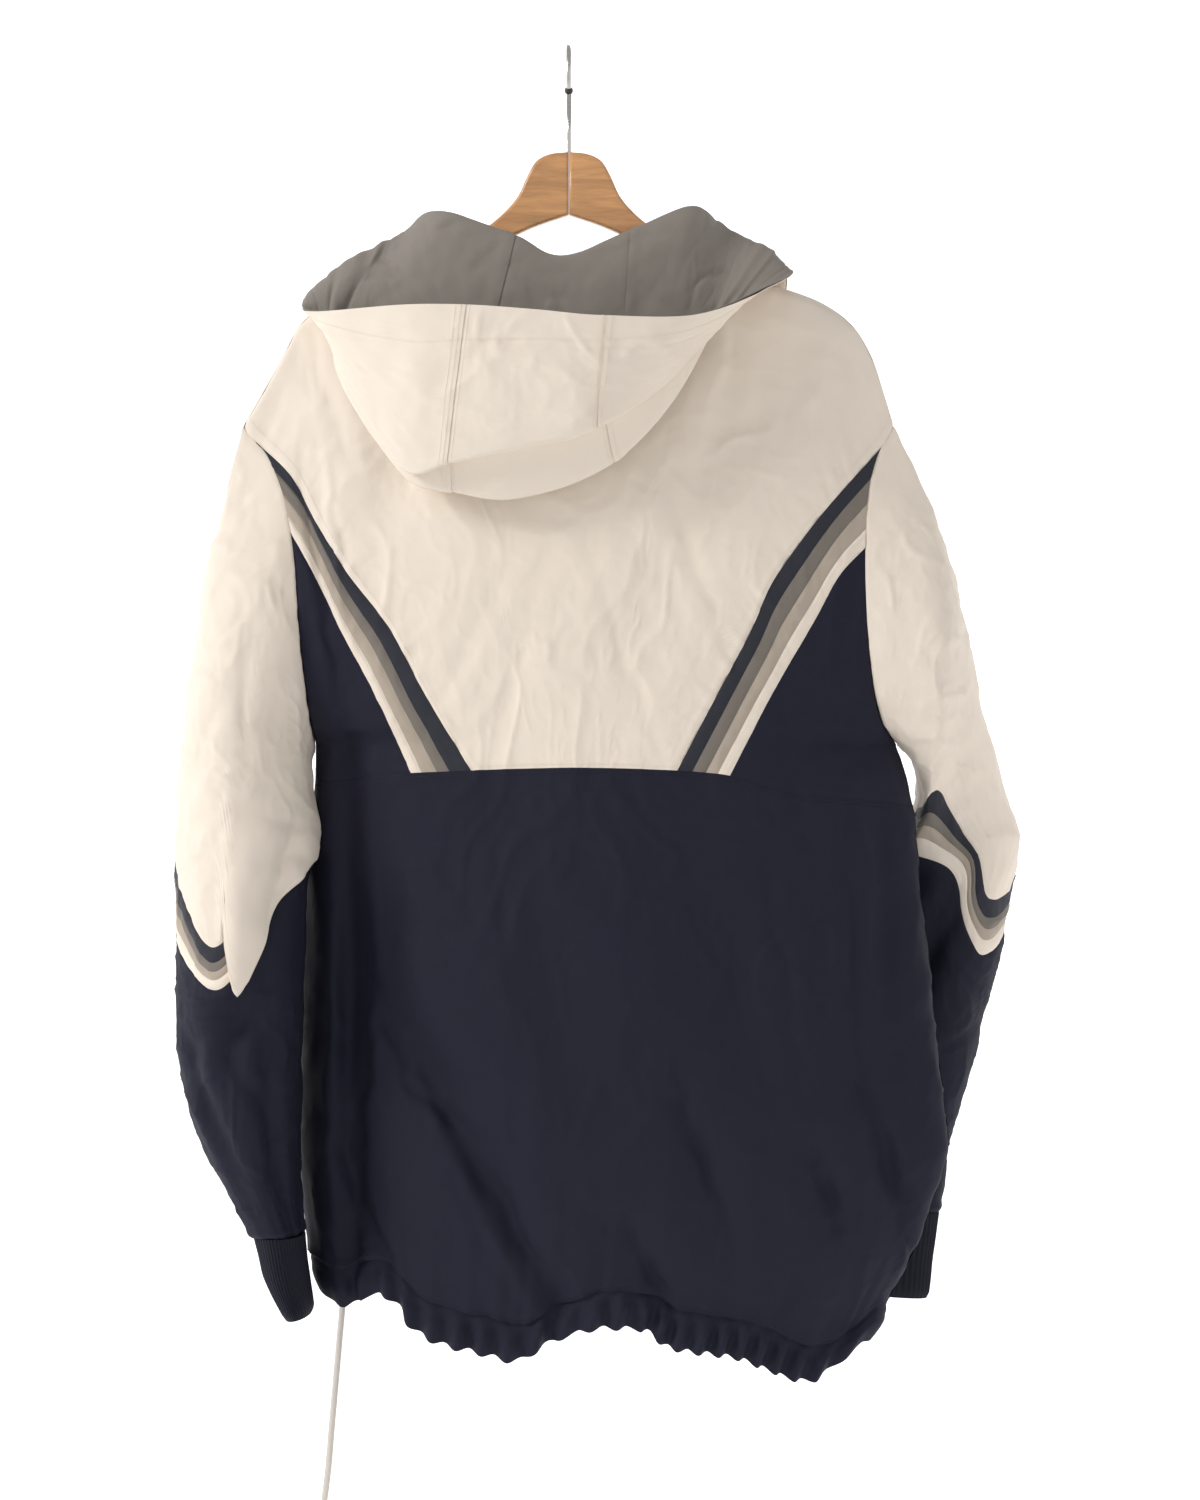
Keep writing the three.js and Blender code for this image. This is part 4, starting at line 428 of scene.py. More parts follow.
def body_point(side, x, z):
    """The body's cloth at x and z, on its back or its front."""
    x, z = np.broadcast_arrays(np.asarray(x, float), np.asarray(z, float))
    a = body_share(x, z)
    f = (1 - np.cos(np.pi * a)) / 2
    left, right = body_edge("left", z), body_edge("right", z)
    edge_y = mix(body_edge("y_left", z), body_edge("y_right", z), f)
    edge = np.maximum(0, body_edge("side", z))
    out = body_edge("back" if side == BACK else "front", z)
    swell = np.sin(np.pi * np.clip(a, 0, 1)).clip(0) ** (2 * body_edge("round", z))
    below = np.clip((crest_z(x) - z) / CREST_ROUND, 0, 1)
    crest = np.where(z > TIP_Z - 1, np.sqrt(1 - (1 - below) ** 2), 1)
    folds = fold_depth(BACK_FOLDS if side == BACK else FRONT_FOLDS, x, z)
    reach = edge + (out - side * edge_y - edge) * swell
    calm = np.clip(swell * 1.6, 0, 1) * crest
    return np.stack([mix(left, right, f), edge_y + side * (crest * reach - calm * folds), z], axis=-1)


def on_body(side, places):
    return body_point(side, places[..., 0], places[..., 1])


def back_seam_z(x):
    return smooth(BACK_SEAM[:, 0], BACK_SEAM[:, 1], x)


def patch(top, bottom, left, right, s, v):
    """Fills the space between four edges, each a function of its share."""
    s1, v1 = s[..., None], v[..., None]
    zero, one = np.zeros(1), np.ones(1)
    across = mix(left(v), right(v), s1)
    down = mix(top(s), bottom(s), v1)
    corners = mix(mix(top(zero), top(one), s1), mix(bottom(zero), bottom(one), s1), v1)
    return across + down - corners


def shares(rows, columns):
    """Share across and share down for each point of a grid."""
    return np.meshgrid(np.linspace(0, 1, columns), np.linspace(0, 1, rows))


def crest_line(name):
    rows = BODY[1:SHOULDER_ROWS][::-1]
    return line_through(np.stack([rows[:, BODY_COLUMNS[name]], rows[:, 0]], axis=-1))


def on_crest(places):
    x = places[..., 0]
    return np.stack([x, crest_z(x)], axis=-1)


def stripe_line(name, k):
    """The join between two stripes, from the armhole to the level seam."""
    row = STRIPES[name]
    high, low = line_through(row["upper"]), line_through(row["lower"])
    share = row["shares"][k]
    start = np.array([float(body_edge(name, row["armhole"][k])), row["armhole"][k]])
    end = np.array([row["seam"][k], float(back_seam_z(row["seam"][k]))])

    def walk(t):
        t = np.asarray(t, float)
        near_start = ((1 - t) ** 2)[..., None]
        near_end = (t**2)[..., None]
        ends = [mix(high(at), low(at), share) for at in (0.0, 1.0)]
        return mix(high(t), low(t), share) + (start - ends[0]) * near_start + (end - ends[1]) * near_end

    return walk


YOKE_ARMHOLE_SHARE = 0.052
YOKE_CREST_STEPS = 5  # of the yoke's top edge, each shoulder takes this many steps and the neck the rest
YOKE_NECK_STEPS = 8
SIDE_ARMHOLE_SHARE = 7 / 9


def yoke_places(s, v):
    crests = {name: crest_line(name) for name in SIDES}
    neck = [(-x, z) for x, z in NECK_FRONT[:1] + NECK_BACK] + [(x, z) for x, z in NECK_BACK[-2::-1]]
    neck.append(NECK_FRONT[0])

    def top(t):
        at = np.asarray(t, float) * (2 * YOKE_CREST_STEPS + YOKE_NECK_STEPS)
        past = at - YOKE_CREST_STEPS
        left = on_crest(crests["left"](at / YOKE_CREST_STEPS))
        right = on_crest(crests["right"](1 - (past - YOKE_NECK_STEPS) / YOKE_CREST_STEPS))
        middle = by_share(neck, np.clip(past / YOKE_NECK_STEPS, 0, 1))
        right_or_neck = np.where((past >= YOKE_NECK_STEPS)[..., None], right, middle)
        return np.where((past <= 0)[..., None], left, right_or_neck)

    def bottom(t):
        x = mix(STRIPES["left"]["seam"][0], STRIPES["right"]["seam"][0], np.asarray(t, float))
        return np.stack([x, back_seam_z(x)], axis=-1)

    def side(name):
        stripe = stripe_line(name, 0)

        def walk(t):
            t = np.asarray(t, float)
            z = mix(TIP_Z, STRIPES[name]["armhole"][0], np.clip(t / YOKE_ARMHOLE_SHARE, 0, 1))
            hole = np.stack([body_edge(name, z), z], axis=-1)
            low = stripe(np.clip((t - YOKE_ARMHOLE_SHARE) / (1 - YOKE_ARMHOLE_SHARE), 0, 1))
            return np.where((t <= YOKE_ARMHOLE_SHARE)[..., None], hole, low)

        return walk

    return patch(top, bottom, side("left"), side("right"), s, v)


def side_end_z(name):
    return float(back_seam_z(body_edge(name, -556.0)))


def side_places(name, s, v):
    stripe = stripe_line(name, 4)
    start, end = STRIPES[name]["armhole"][4], side_end_z(name)
    hole_share = SIDE_ARMHOLE_SHARE
    below = (v - hole_share) / (1 - hole_share)
    z = np.where(v <= hole_share, mix(start, UNDERARM_Z, v / hole_share), mix(UNDERARM_Z, end, below))
    edge = np.stack([body_edge(name, z), z], axis=-1)
    places = mix(edge, stripe(v), s[..., None])
    last = mix(np.array([float(body_edge(name, end)), end]), stripe(np.ones(1))[0], s[..., None])
    lift = back_seam_z(last[..., 0]) - last[..., 1]
    places[..., 1] += lift * v**4
    return places


def hem_low(side, x):
    table = HEM_BACK if side == BACK else HEM_FRONT
    return smooth(table[:, 0], table[:, 1], x)


def hem_corner(name):
    z = HEM_SIDE_Z[name] + HEM_HEIGHT
    return float(body_edge(name, z)), z


def lower_places(s, v):
    left, right = (float(body_edge(name, side_end_z(name))) for name in SIDES)
    x0 = mix(left, right, s)
    z0 = back_seam_z(x0)
    f = (x0 - body_edge("left", z0)) / (body_edge("right", z0) - body_edge("left", z0))
    x1 = mix(hem_corner("left")[0], hem_corner("right")[0], f)
    z = mix(z0, hem_low(BACK, x1) + HEM_HEIGHT, v)
    return np.stack([mix(body_edge("left", z), body_edge("right", z), f), z], axis=-1)


FRONT_HEIGHTS = (-281, -284.5, -293, -308, -328, -348, -368)
FRONT_SEAM_ZIP_Z = -470.0
FRONT_SEAM_SAG = 12.0
CREST_DROP = 5.0
CREST_SHARE = 0.03  # share of the upper front that rolls over the shoulder's crest


def sign(name):
    return -1 if name == "left" else 1


def front_seam(name):
    start = np.array([float(body_edge(name, FRONT_HEIGHTS[-1])), FRONT_HEIGHTS[-1]])
    end = np.array([sign(name) * ZIP_GAP, FRONT_SEAM_ZIP_Z])

    def walk(t):
        t = np.asarray(t, float)
        sag = np.stack([0 * t, -FRONT_SEAM_SAG * np.sin(np.pi * t)], axis=-1)
        return mix(start, end, t[..., None]) + sag

    return walk


def front_upper_places(name, s, v):
    crest = crest_line(name)
    neck = [(sign(name) * x, z) for x, z in NECK_FRONT]
    hole = [(float(body_edge(name, z)), z) for z in FRONT_HEIGHTS]
    upper = [(sign(name) * ZIP_GAP, mix(NECK_FRONT[-1][1], FRONT_SEAM_ZIP_Z, t)) for t in (0.5, 1)]
    top = on_crest(crest(np.linspace(0, 1, 6)))
    under = top + np.array([0, -CREST_DROP])
    under[0], under[-1] = hole[1], neck[1]
    inside = np.clip((v - CREST_SHARE) / (1 - CREST_SHARE), 0, 1)
    right = neck[1:] + upper
    body = patch(lambda t: by_share(under, t), front_seam(name), lambda t: by_share(hole[1:], t),
                 lambda t: straight(right, t), s, inside)
    roll = mix(on_crest(crest(s)), by_share(under, s), np.clip(v / CREST_SHARE, 0, 1)[..., None])
    return np.where((v <= CREST_SHARE)[..., None], roll, body)


def front_low(name):
    corner = np.array(hem_corner(name))
    zip_end = np.array([sign(name) * ZIP_GAP, float(hem_low(FRONT, 0.0)) + HEM_HEIGHT])
    return lambda t: mix(corner, zip_end, np.asarray(t, float)[..., None])


def front_lower_places(name, s, v):
    hole = list(np.linspace(FRONT_HEIGHTS[-1], UNDERARM_Z, 5))
    end = side_end_z(name)
    heights = hole + [(UNDERARM_Z + end) / 2] + list(np.linspace(end, hem_corner(name)[1], 12))
    low = front_low(name)

    def side(t):
        z = np.interp(np.clip(t, 0, 1), np.linspace(0, 1, len(heights)), heights)
        return np.stack([body_edge(name, z), z], axis=-1)

    def zip_edge(t):
        z = mix(FRONT_SEAM_ZIP_Z, float(low(1.0)[1]), np.asarray(t, float))
        return np.stack([0 * z + sign(name) * ZIP_GAP, z], axis=-1)

    return patch(front_seam(name), low, side, zip_edge, s, v)


def tube_ring(rows, s, turn):
    """Points and centres of a sleeve or cuff at shares of its length and turns round it."""
    values = smooth(rows[:, 0], rows[:, 1:], s)
    outer, inner, half = values[..., 0:3], values[..., 3:6], values[..., 6]
    centre = (outer + inner) / 2
    across = outer - centre
    flat = across / np.linalg.norm(across, axis=-1, keepdims=True)
    deep = np.array([0.0, -1.0, 0.0]) - (-flat[..., 1:2]) * flat
    deep /= np.linalg.norm(deep, axis=-1, keepdims=True)
    point = centre + across * np.cos(turn)[..., None] + deep * (half * np.sin(turn))[..., None]
    return point, centre


def armhole_point(name, turn):
    z = mix(TIP_Z, UNDERARM_Z, (1 - np.cos(turn)) / 2)
    x = body_edge(name, z)
    return np.where((np.sin(turn) >= 0)[..., None], body_point(BACK, x, z), body_point(FRONT, x, z))


def sleeve_dips(folds, s, turn):
    """How deep the creases are at a share of the sleeve's length and a turn round it."""
    total = np.zeros(s.shape)
    for at, place, along, around, deep, lean in folds:
        off = turn - place - lean * (s - at)
        around_it = np.arctan2(np.sin(off), np.cos(off)) / around
        run = (s - at) / along
        total += deep * np.exp(-around_it**2 - run**2)
    return total


ARMHOLE_REACH = 0.24


def sleeve_point(name, s, turn):
    point, centre = tube_ring(SLEEVES[name], s, turn)
    hold = smooth_step(np.clip(1 - s / ARMHOLE_REACH, 0, 1))
    start, _ = tube_ring(SLEEVES[name], 0 * s, turn)
    point = point + (armhole_point(name, turn) - start) * hold[..., None]
    inward = centre - point
    inward /= np.linalg.norm(inward, axis=-1, keepdims=True)
    dips = sleeve_dips(SLEEVE_FOLDS[name], s, turn) + sleeve_dips(SLEEVE_CREASES[name], s, turn)
    return point + inward * ((1 - hold) * dips)[..., None]


def chevron(name, k, turn):
    rows = CHEVRONS[name]
    at = rows[0, 0] + np.mod(turn - rows[0, 0], 2 * np.pi)
    return smooth(rows[:, 0], rows[:, 1], at) + CHEVRON_SHARES[k] * smooth(rows[:, 0], rows[:, 2], at)


def hood_neck(u):
    """The neck seam as the body has it, from the zip round the back to the zip."""
    places = np.array(NECK_FRONT[::-1] + NECK_BACK, float)
    from_zip = np.minimum(u, 1 - u)
    way = np.where(u < 0.5, -1, 1)
    x = np.interp(from_zip, NECK_KNOTS, places[:, 0]) * way
    z = np.interp(from_zip, NECK_KNOTS, places[:, 1])
    behind = from_zip >= NECK_BACK_FROM
    point = np.where(behind[..., None], body_point(BACK, x, z), body_point(FRONT, x, z))
    point[..., 1] -= np.where(behind, -1, 1) * 0.5 * CAD_CLOTH
    point[..., 2] += np.where(behind, 0.5, 1.5)
    point[..., 0] -= np.where(behind, 0, way)
    return point


def hood_surface(u, w):
    """The hood's middle surface; u is one value for each column and w one for each row."""
    rows = smooth(HOOD[:, 0], HOOD[:, 1:], u).reshape(len(u), 5, 3)
    neck, ridge, bottom, fold, band = (rows[:, k] for k in range(5))
    pouch = np.clip((ridge[:, 2] - bottom[:, 2]) / POUCH_HEIGHT, 0, 1)
    behind = (ridge + bottom) / 2
    behind[:, 1] += POUCH_ROUND * pouch
    tuck = mix(bottom, fold, TUCK_SHARE)
    tuck[:, 2] += TUCK_RISE * pouch
    controls = np.stack([neck, ridge, behind, bottom, tuck, fold, band])
    points = smooth(HOOD_KEYS, controls, w)
    near = np.clip(1 - w / HOOD_KEYS[1], 0, 1)[:, None, None]
    return points + (hood_neck(u) - controls[0])[None] * near


def unit(vectors):
    return vectors / np.maximum(np.linalg.norm(vectors, axis=-1, keepdims=True), 1e-9)


def raw_normals(points):
    """Unit normals of a grid of points, on the side that its rows and columns give."""
    return unit(np.cross(np.gradient(points, axis=1), np.gradient(points, axis=0)))


def grid_normals(points, towards):
    """Unit normals of a grid of points, on the side of the given direction."""
    normals = raw_normals(points)
    return -normals if np.sum(normals * towards) < 0 else normals


def edge_runs(points):
    """For each edge of a grid: how far each point lies from it, and the edge point it is measured from."""
    down = np.linalg.norm(np.diff(points, axis=0), axis=-1)
    across = np.linalg.norm(np.diff(points, axis=1), axis=-1)
    from_top = np.concatenate([np.zeros((1, points.shape[1])), np.cumsum(down, axis=0)])
    from_left = np.concatenate([np.zeros((points.shape[0], 1)), np.cumsum(across, axis=1)], axis=1)
    return {
        "top": (from_top, points[:1]),
        "bottom": (from_top[-1:] - from_top, points[-1:]),
        "left": (from_left, points[:, :1]),
        "right": (from_left[:, -1:] - from_left, points[:, -1:]),
    }


# How the cloth lies at a seam: depth of its puckers, their length along the seam, how far they reach into
# the cloth, how far the seam itself is drawn in, and the height of the topstitched roll beside it.
SEAM_LOOKS = {
    "plain": (0.5, 9, 12, 0.5, 0.2),
    "stripe": (0.35, 6, 7, 0.45, 0.15),
    "puckered": (1.1, 8, 16, 0.7, 0.45),
    "flat": (0.25, 9, 9, 0.2, 0.1),
    "gathered": (2.4, 12, 46, 1.2, 0.9),
}


def seam_depth(points, edges):
    total = np.zeros(points.shape[:2])
    runs = edge_runs(points)
    for edge, look in edges.items():
        pucker, size, reach, drawn, roll = SEAM_LOOKS[look]
        distance, anchor = runs[edge]
        wave = NOISE(anchor / size + 5.3) + 0.5 * NOISE(anchor / (0.45 * size) + 1.7)
        total += pucker * wave * np.exp(-distance / reach)
        total -= drawn * np.exp(-((distance / 1.5) ** 2))
        total += roll * np.exp(-(((distance - 4.5) / 2.6) ** 2))
    return total


def crumple(points, size, deep, upright=1.0):
    """Creases that cloth keeps from handling: thin wandering ridges over soft dents."""
    scale = np.array([size, size, size * upright])
    place = points / scale
    bend = np.stack([WARP(place * 0.9 + 3.1), WARP(place * 0.9 + 11.7), WARP(place * 0.9 + 23.3)], axis=-1)
    soft = NOISE(place * 0.6 + 9.1 + 0.4 * bend)
    sharp = 1 - np.abs(NOISE(place + 0.9 * bend))
    fine = 1 - np.abs(NOISE(place * 2.3 + 1.1 * bend + 31.0))
    return deep * (0.9 * soft + 0.75 * (sharp**4 - 0.25) + 0.3 * (fine**4 - 0.25))


def cloth_mesh(name, points, normals, closed):
    """A grid made a mesh whose faces look along the normals, with a UV map measured in metres."""
    rows, columns = points.shape[:2]
    bm = bmesh.new()
    bm.loops.layers.uv.new("cloth")
    bmesh.ops.create_grid(bm, x_segments=columns - 1, y_segments=rows - 1, size=1, calc_uvs=True)
    mesh = bpy.data.meshes.new(name)
    bm.to_mesh(mesh)
    bm.free()
    flat = np.empty(len(mesh.vertices) * 3)
    mesh.vertices.foreach_get("co", flat)
    flat = flat.reshape(-1, 3)
    column = np.rint((flat[:, 0] + 1) / 2 * (columns - 1)).astype(int)
    row = np.rint((1 - flat[:, 1]) / 2 * (rows - 1)).astype(int)
    mesh.vertices.foreach_set("co", (points[row, column] * MM).ravel())
    runs = edge_runs(points)
    corner = np.empty(len(mesh.loops), dtype=np.int32)
    mesh.loops.foreach_get("vertex_index", corner)
    uv = np.stack([runs["left"][0][row, column], -runs["top"][0][row, column]], axis=-1) * MM
    mesh.uv_layers["cloth"].data.foreach_set("uv", uv[corner].ravel())
    mesh.update()
    faces = np.empty(len(mesh.polygons) * 3)
    mesh.polygons.foreach_get("normal", faces)
    first = corner[[p.loop_start for p in mesh.polygons]]
    outward = normals[row, column][first]
    bm = bmesh.new()
    bm.from_mesh(mesh)
    if np.sum(faces.reshape(-1, 3) * outward) < 0:
        bmesh.ops.reverse_faces(bm, faces=bm.faces)
    if closed:
        bmesh.ops.remove_doubles(bm, verts=bm.verts, dist=1e-6)
    bmesh.ops.dissolve_degenerate(bm, edges=bm.edges, dist=1e-7)
    for face in bm.faces:
        face.smooth = True
    for edge in bm.edges:
        edge.smooth = not edge.is_boundary
    bm.to_mesh(mesh)
    bm.free()
    return mesh


def mesh_of(bm, name):
    mesh = bpy.data.meshes.new(name)
    bm.to_mesh(mesh)
    bm.free()
    return mesh


def add_piece(name, mesh, material, nodes=()):
    """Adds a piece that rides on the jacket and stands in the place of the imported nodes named."""
    piece = bpy.data.objects.new(name, mesh)
    bpy.context.scene.collection.objects.link(piece)
    mesh.materials.append(material)
    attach(piece, "jacket")
    if nodes:
        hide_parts(*nodes)
    return piece


def cloth_piece(node, points, normals, material, closed=False, thick=None):
    """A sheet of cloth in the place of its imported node, with a wall on its inner side."""
    mesh = cloth_mesh(f"{node}_cloth", points, normals, closed)
    piece = add_piece(f"{node}_cloth", mesh, material, [node])
    wall = piece.modifiers.new("cloth", "SOLIDIFY")
    wall.thickness = thick * MM if thick else bpy.context.scene.jacket_sizes.cloth
    wall.offset = -1
    wall.use_even_offset = False


BODY_CRUMPLE = 3.3
SHOULDER_CALM = 60.0  # the creases grow to their full depth over these lengths
ARMHOLE_CALM = 16.0


def body_lift(side, places, points):
    """How far the body's cloth stands out from its smooth surface, calm at the crest and the armholes."""
    x, z = places[..., 0], places[..., 1]
    look = bpy.context.scene.jacket_sizes
    calm = np.clip((BODY[0, 0] - z) / SHOULDER_CALM, 0.25, 1)
    to_edge = np.minimum(x - body_edge("left", z), body_edge("right", z) - x)
    calm = calm * np.where(z > UNDERARM_Z, np.clip(to_edge / ARMHOLE_CALM, 0, 1), 1)
    lift = crumple(points, 46, BODY_CRUMPLE * 0.62, 1.5) + crumple(points + 300, 17, BODY_CRUMPLE * 0.2)
    return calm * (lift * look.crumple - crease_depth(BACK_CREASES if side == BACK else FRONT_CREASES, x, z))


STITCHED = {}  # for each thread's slot: the lines that were sewn, with the cloth's normals beside them
STITCH_SIZE = (0.62, 0.5, 0.42)  # length as a share of the pitch, then width and height in millimetres


def sew(slot, points, normals, lines):
    """Notes topstitched lines; each is an edge of the grid and how many cells it lies from it."""
    for edge, cells in lines:
        at = cells if edge in ("left", "top") else -1 - cells
        pick = (slice(None), at) if edge in ("left", "right") else (at, slice(None))
        STITCHED.setdefault(slot, []).append((points[pick], normals[pick]))


def build_stitching():
    """Each line is walked at the stitch's length, and every stitch is a small box laid along it."""
    bm = bmesh.new()
    bmesh.ops.create_cube(bm, size=1)
    box = np.array([vert.co[:] for vert in bm.verts])
    faces = np.array([[vert.index for vert in face.verts] for face in bm.faces])
    bm.free()
    pitch = bpy.context.scene.jacket_sizes.stitch / MM
    share, wide, high = STITCH_SIZE
    for slot, lines in STITCHED.items():
        corners = []
        for path, normals in lines:
            run = np.concatenate([[0], np.cumsum(np.linalg.norm(np.diff(path, axis=0), axis=1))])
            at = np.arange(pitch / 2, run[-1], pitch)
            place, ahead, out = (
                np.stack([np.interp(where, run, table[:, axis]) for axis in range(3)], axis=-1)
                for where, table in ((at, path), (at + 0.5, path), (at, normals))
            )
            along = ahead - place
            along /= np.maximum(np.linalg.norm(along, axis=-1, keepdims=True), 1e-6)
            beside = np.cross(out, along)
            frames = np.stack([along * pitch * share, beside * wide, out * high], axis=1)
            corners.append(place[:, None] + out[:, None] * 0.1 + np.einsum("vk,skc->svc", box, frames))
        corners = np.concatenate(corners)
        count = len(corners)
        mesh = bpy.data.meshes.new(f"stitching_{slot}")
        index = (np.arange(count)[:, None, None] * len(box) + faces).reshape(-1, 4)
        mesh.from_pydata((corners.reshape(-1, 3) * MM).tolist(), [], index.tolist())
        thread = cloth_material(f"thread, {slot}", SLOT_COLOURS[slot], uv=False)
        add_piece(f"stitching_{slot}", mesh, thread)


def body_cloth(node, side, places, edges, slot, material, stitched=()):
    """A panel of the body with its large folds, its sharp creases and its seams."""
    points = on_body(side, places)
    normals = grid_normals(points, np.array([0.0, side, 0.0]))
    lift = body_lift(side, places, points) + seam_depth(points, edges) * bpy.context.scene.jacket_sizes.pucker
    points = points + normals * lift[..., None]
    sew(slot, points, normals, stitched)
    cloth_piece(node, points, normals, material)


# Shader groups shared by several finishes
def socket(group, name, kind, output=False, default=None):
    made = group.interface.new_socket(name=name, in_out="OUTPUT" if output else "INPUT", socket_type=kind)
    if default is not None:
        made.default_value = default
    return made


def math_node(nodes, links, operation, first, second=None):
    node = nodes.new("ShaderNodeMath")
    node.operation = operation
    for slot, value in zip(node.inputs, (first, second)):
        if value is None:
            continue
        if isinstance(value, (int, float)):
            slot.default_value = value
        else:
            links.new(value, slot)
    return node.outputs[0]


def shader_node(nodes, kind, values):
    node = nodes.new(kind)
    for key, value in values.items():
        node.inputs[key].default_value = value
    return node


def woven_group():
    """Plain weave: threads over and under, a tone that drifts, and small creases from handling."""
    if "woven cloth" in bpy.data.node_groups:
        return bpy.data.node_groups["woven cloth"]
    group = bpy.data.node_groups.new("woven cloth", "ShaderNodeTree")
    socket(group, "Colour", "NodeSocketColor", default=(0.8, 0.8, 0.8, 1))
    socket(group, "Thread", "NodeSocketVector")
    socket(group, "Place", "NodeSocketVector")
    socket(group, "Threads per metre", "NodeSocketFloat", default=1400.0)
    socket(group, "Tone drift", "NodeSocketFloat", default=0.06)
    socket(group, "Crease depth", "NodeSocketFloat", default=0.3)
    socket(group, "Base Color", "NodeSocketColor", output=True)
    socket(group, "Roughness", "NodeSocketFloat", output=True)
    socket(group, "Normal", "NodeSocketVector", output=True)
    nodes, links = group.nodes, group.links
    given = nodes.new("NodeGroupInput")
    result = nodes.new("NodeGroupOutput")
    split = nodes.new("ShaderNodeSeparateXYZ")
    links.new(given.outputs["Thread"], split.inputs[0])
    turns = math_node(nodes, links, "MULTIPLY", given.outputs["Threads per metre"], 2 * math.pi)
    warp = math_node(nodes, links, "SINE", math_node(nodes, links, "MULTIPLY", split.outputs[0], turns))
    weft = math_node(nodes, links, "SINE", math_node(nodes, links, "MULTIPLY", split.outputs[1], turns))
    weave = math_node(nodes, links, "MULTIPLY", warp, weft)

    def noise(scale, detail, kind="FBM"):
        node = shader_node(nodes, "ShaderNodeTexNoise", {"Scale": scale, "Detail": detail})
        node.noise_type = kind
        links.new(given.outputs["Place"], node.inputs["Vector"])
        return node.outputs[0]

    drift = math_node(nodes, links, "SUBTRACT", noise(9.0, 4.0), 0.5)
    threads = math_node(nodes, links, "MULTIPLY", weave, 0.02)
    shade = math_node(nodes, links, "MULTIPLY", drift, given.outputs["Tone drift"])
    value = math_node(nodes, links, "ADD", math_node(nodes, links, "ADD", shade, threads), 1.0)
    tint = shader_node(nodes, "ShaderNodeMix", {"Factor": 1.0})
    tint.data_type = "RGBA"
    tint.blend_type = "MULTIPLY"
    grey = nodes.new("ShaderNodeCombineColor")
    for channel in grey.inputs:
        links.new(value, channel)
    links.new(given.outputs["Colour"], tint.inputs["A"])
    links.new(grey.outputs[0], tint.inputs["B"])
    links.new(tint.outputs["Result"], result.inputs["Base Color"])
    rough = math_node(nodes, links, "MULTIPLY_ADD", drift, 0.2)
    rough.node.inputs[2].default_value = 0.72
    links.new(rough, result.inputs["Roughness"])
    fine = shader_node(nodes, "ShaderNodeBump", {"Strength": 0.25, "Distance": 0.0002})
    links.new(weave, fine.inputs["Height"])
    creases = shader_node(nodes, "ShaderNodeBump", {"Distance": 0.0022})
    links.new(given.outputs["Crease depth"], creases.inputs["Strength"])
    links.new(noise(34.0, 5.0, "RIDGED_MULTIFRACTAL"), creases.inputs["Height"])
    links.new(fine.outputs[0], creases.inputs["Normal"])
    links.new(creases.outputs[0], result.inputs["Normal"])
    return group


def new_material(name, roughness, values):
    material = bpy.data.materials.new(name)
    material.use_nodes = True
    shader = material.node_tree.nodes["Principled BSDF"]
    shader.inputs["Roughness"].default_value = roughness
    for key, value in values.items():
        shader.inputs[key].default_value = value
    return material, shader


def cloth_material(name, colour, drift=0.08, creases=0.22, threads=1400.0, sheen=0.1, specular=0.3, uv=True):
    if name in bpy.data.materials:
        return bpy.data.materials[name]
    material, shader = new_material(name, 0.75, {
        "Sheen Weight": sheen, "Sheen Roughness": 0.5, "Specular IOR Level": specular,
    })
    nodes, links = material.node_tree.nodes, material.node_tree.links
    woven = nodes.new("ShaderNodeGroup")
    woven.node_tree = woven_group()
    woven.inputs["Colour"].default_value = (*colour, 1)
    woven.inputs["Threads per metre"].default_value = threads
    woven.inputs["Tone drift"].default_value = drift
    woven.inputs["Crease depth"].default_value = creases
    thread = nodes.new("ShaderNodeUVMap")
    thread.uv_map = "cloth"
    place = nodes.new("ShaderNodeTexCoord")
    links.new(thread.outputs[0] if uv else place.outputs["Object"], woven.inputs["Thread"])
    links.new(place.outputs["Object"], woven.inputs["Place"])
    for key in ("Base Color", "Roughness", "Normal"):
        links.new(woven.outputs[key], shader.inputs[key])
    return material


def finishes():
    """The cloth finishes by the record's slot names, from the sidebar's colours."""
    look = bpy.context.scene.jacket_colours
    return {
        "shell_white": cloth_material("white shell cloth", look.white),
        "shell_navy": cloth_material("navy shell cloth", look.navy, drift=0.25, sheen=0.0, specular=0.2),
        "stripe_dark": cloth_material("charcoal stripe cloth", look.dark, drift=0.2, creases=0.12),
        "stripe_grey": cloth_material("mid grey stripe cloth", look.grey, creases=0.12),
        "stripe_light": cloth_material("light grey stripe cloth", look.light, creases=0.12),
        "hood_lining": cloth_material("grey lining cloth", look.lining, creases=0.25, threads=1100.0),
        "rib_knit": cloth_material(
            "ribbed knit", look.rib, drift=0.3, threads=700.0, sheen=0.0, specular=0.2),
        "zip_tape": cloth_material("zip tape", SLOT_COLOURS["zip_tape"], threads=900.0, uv=False),
    }


FINE = 3.0  # size of a cell of visible cloth
COARSE = 6.0  # size of a cell of the hidden front


def grid(width, length, cell):
    """Shares across and down for cloth of about this size."""
    return shares(max(4, round(length / cell)) + 1, max(3, round(width / cell)) + 1)


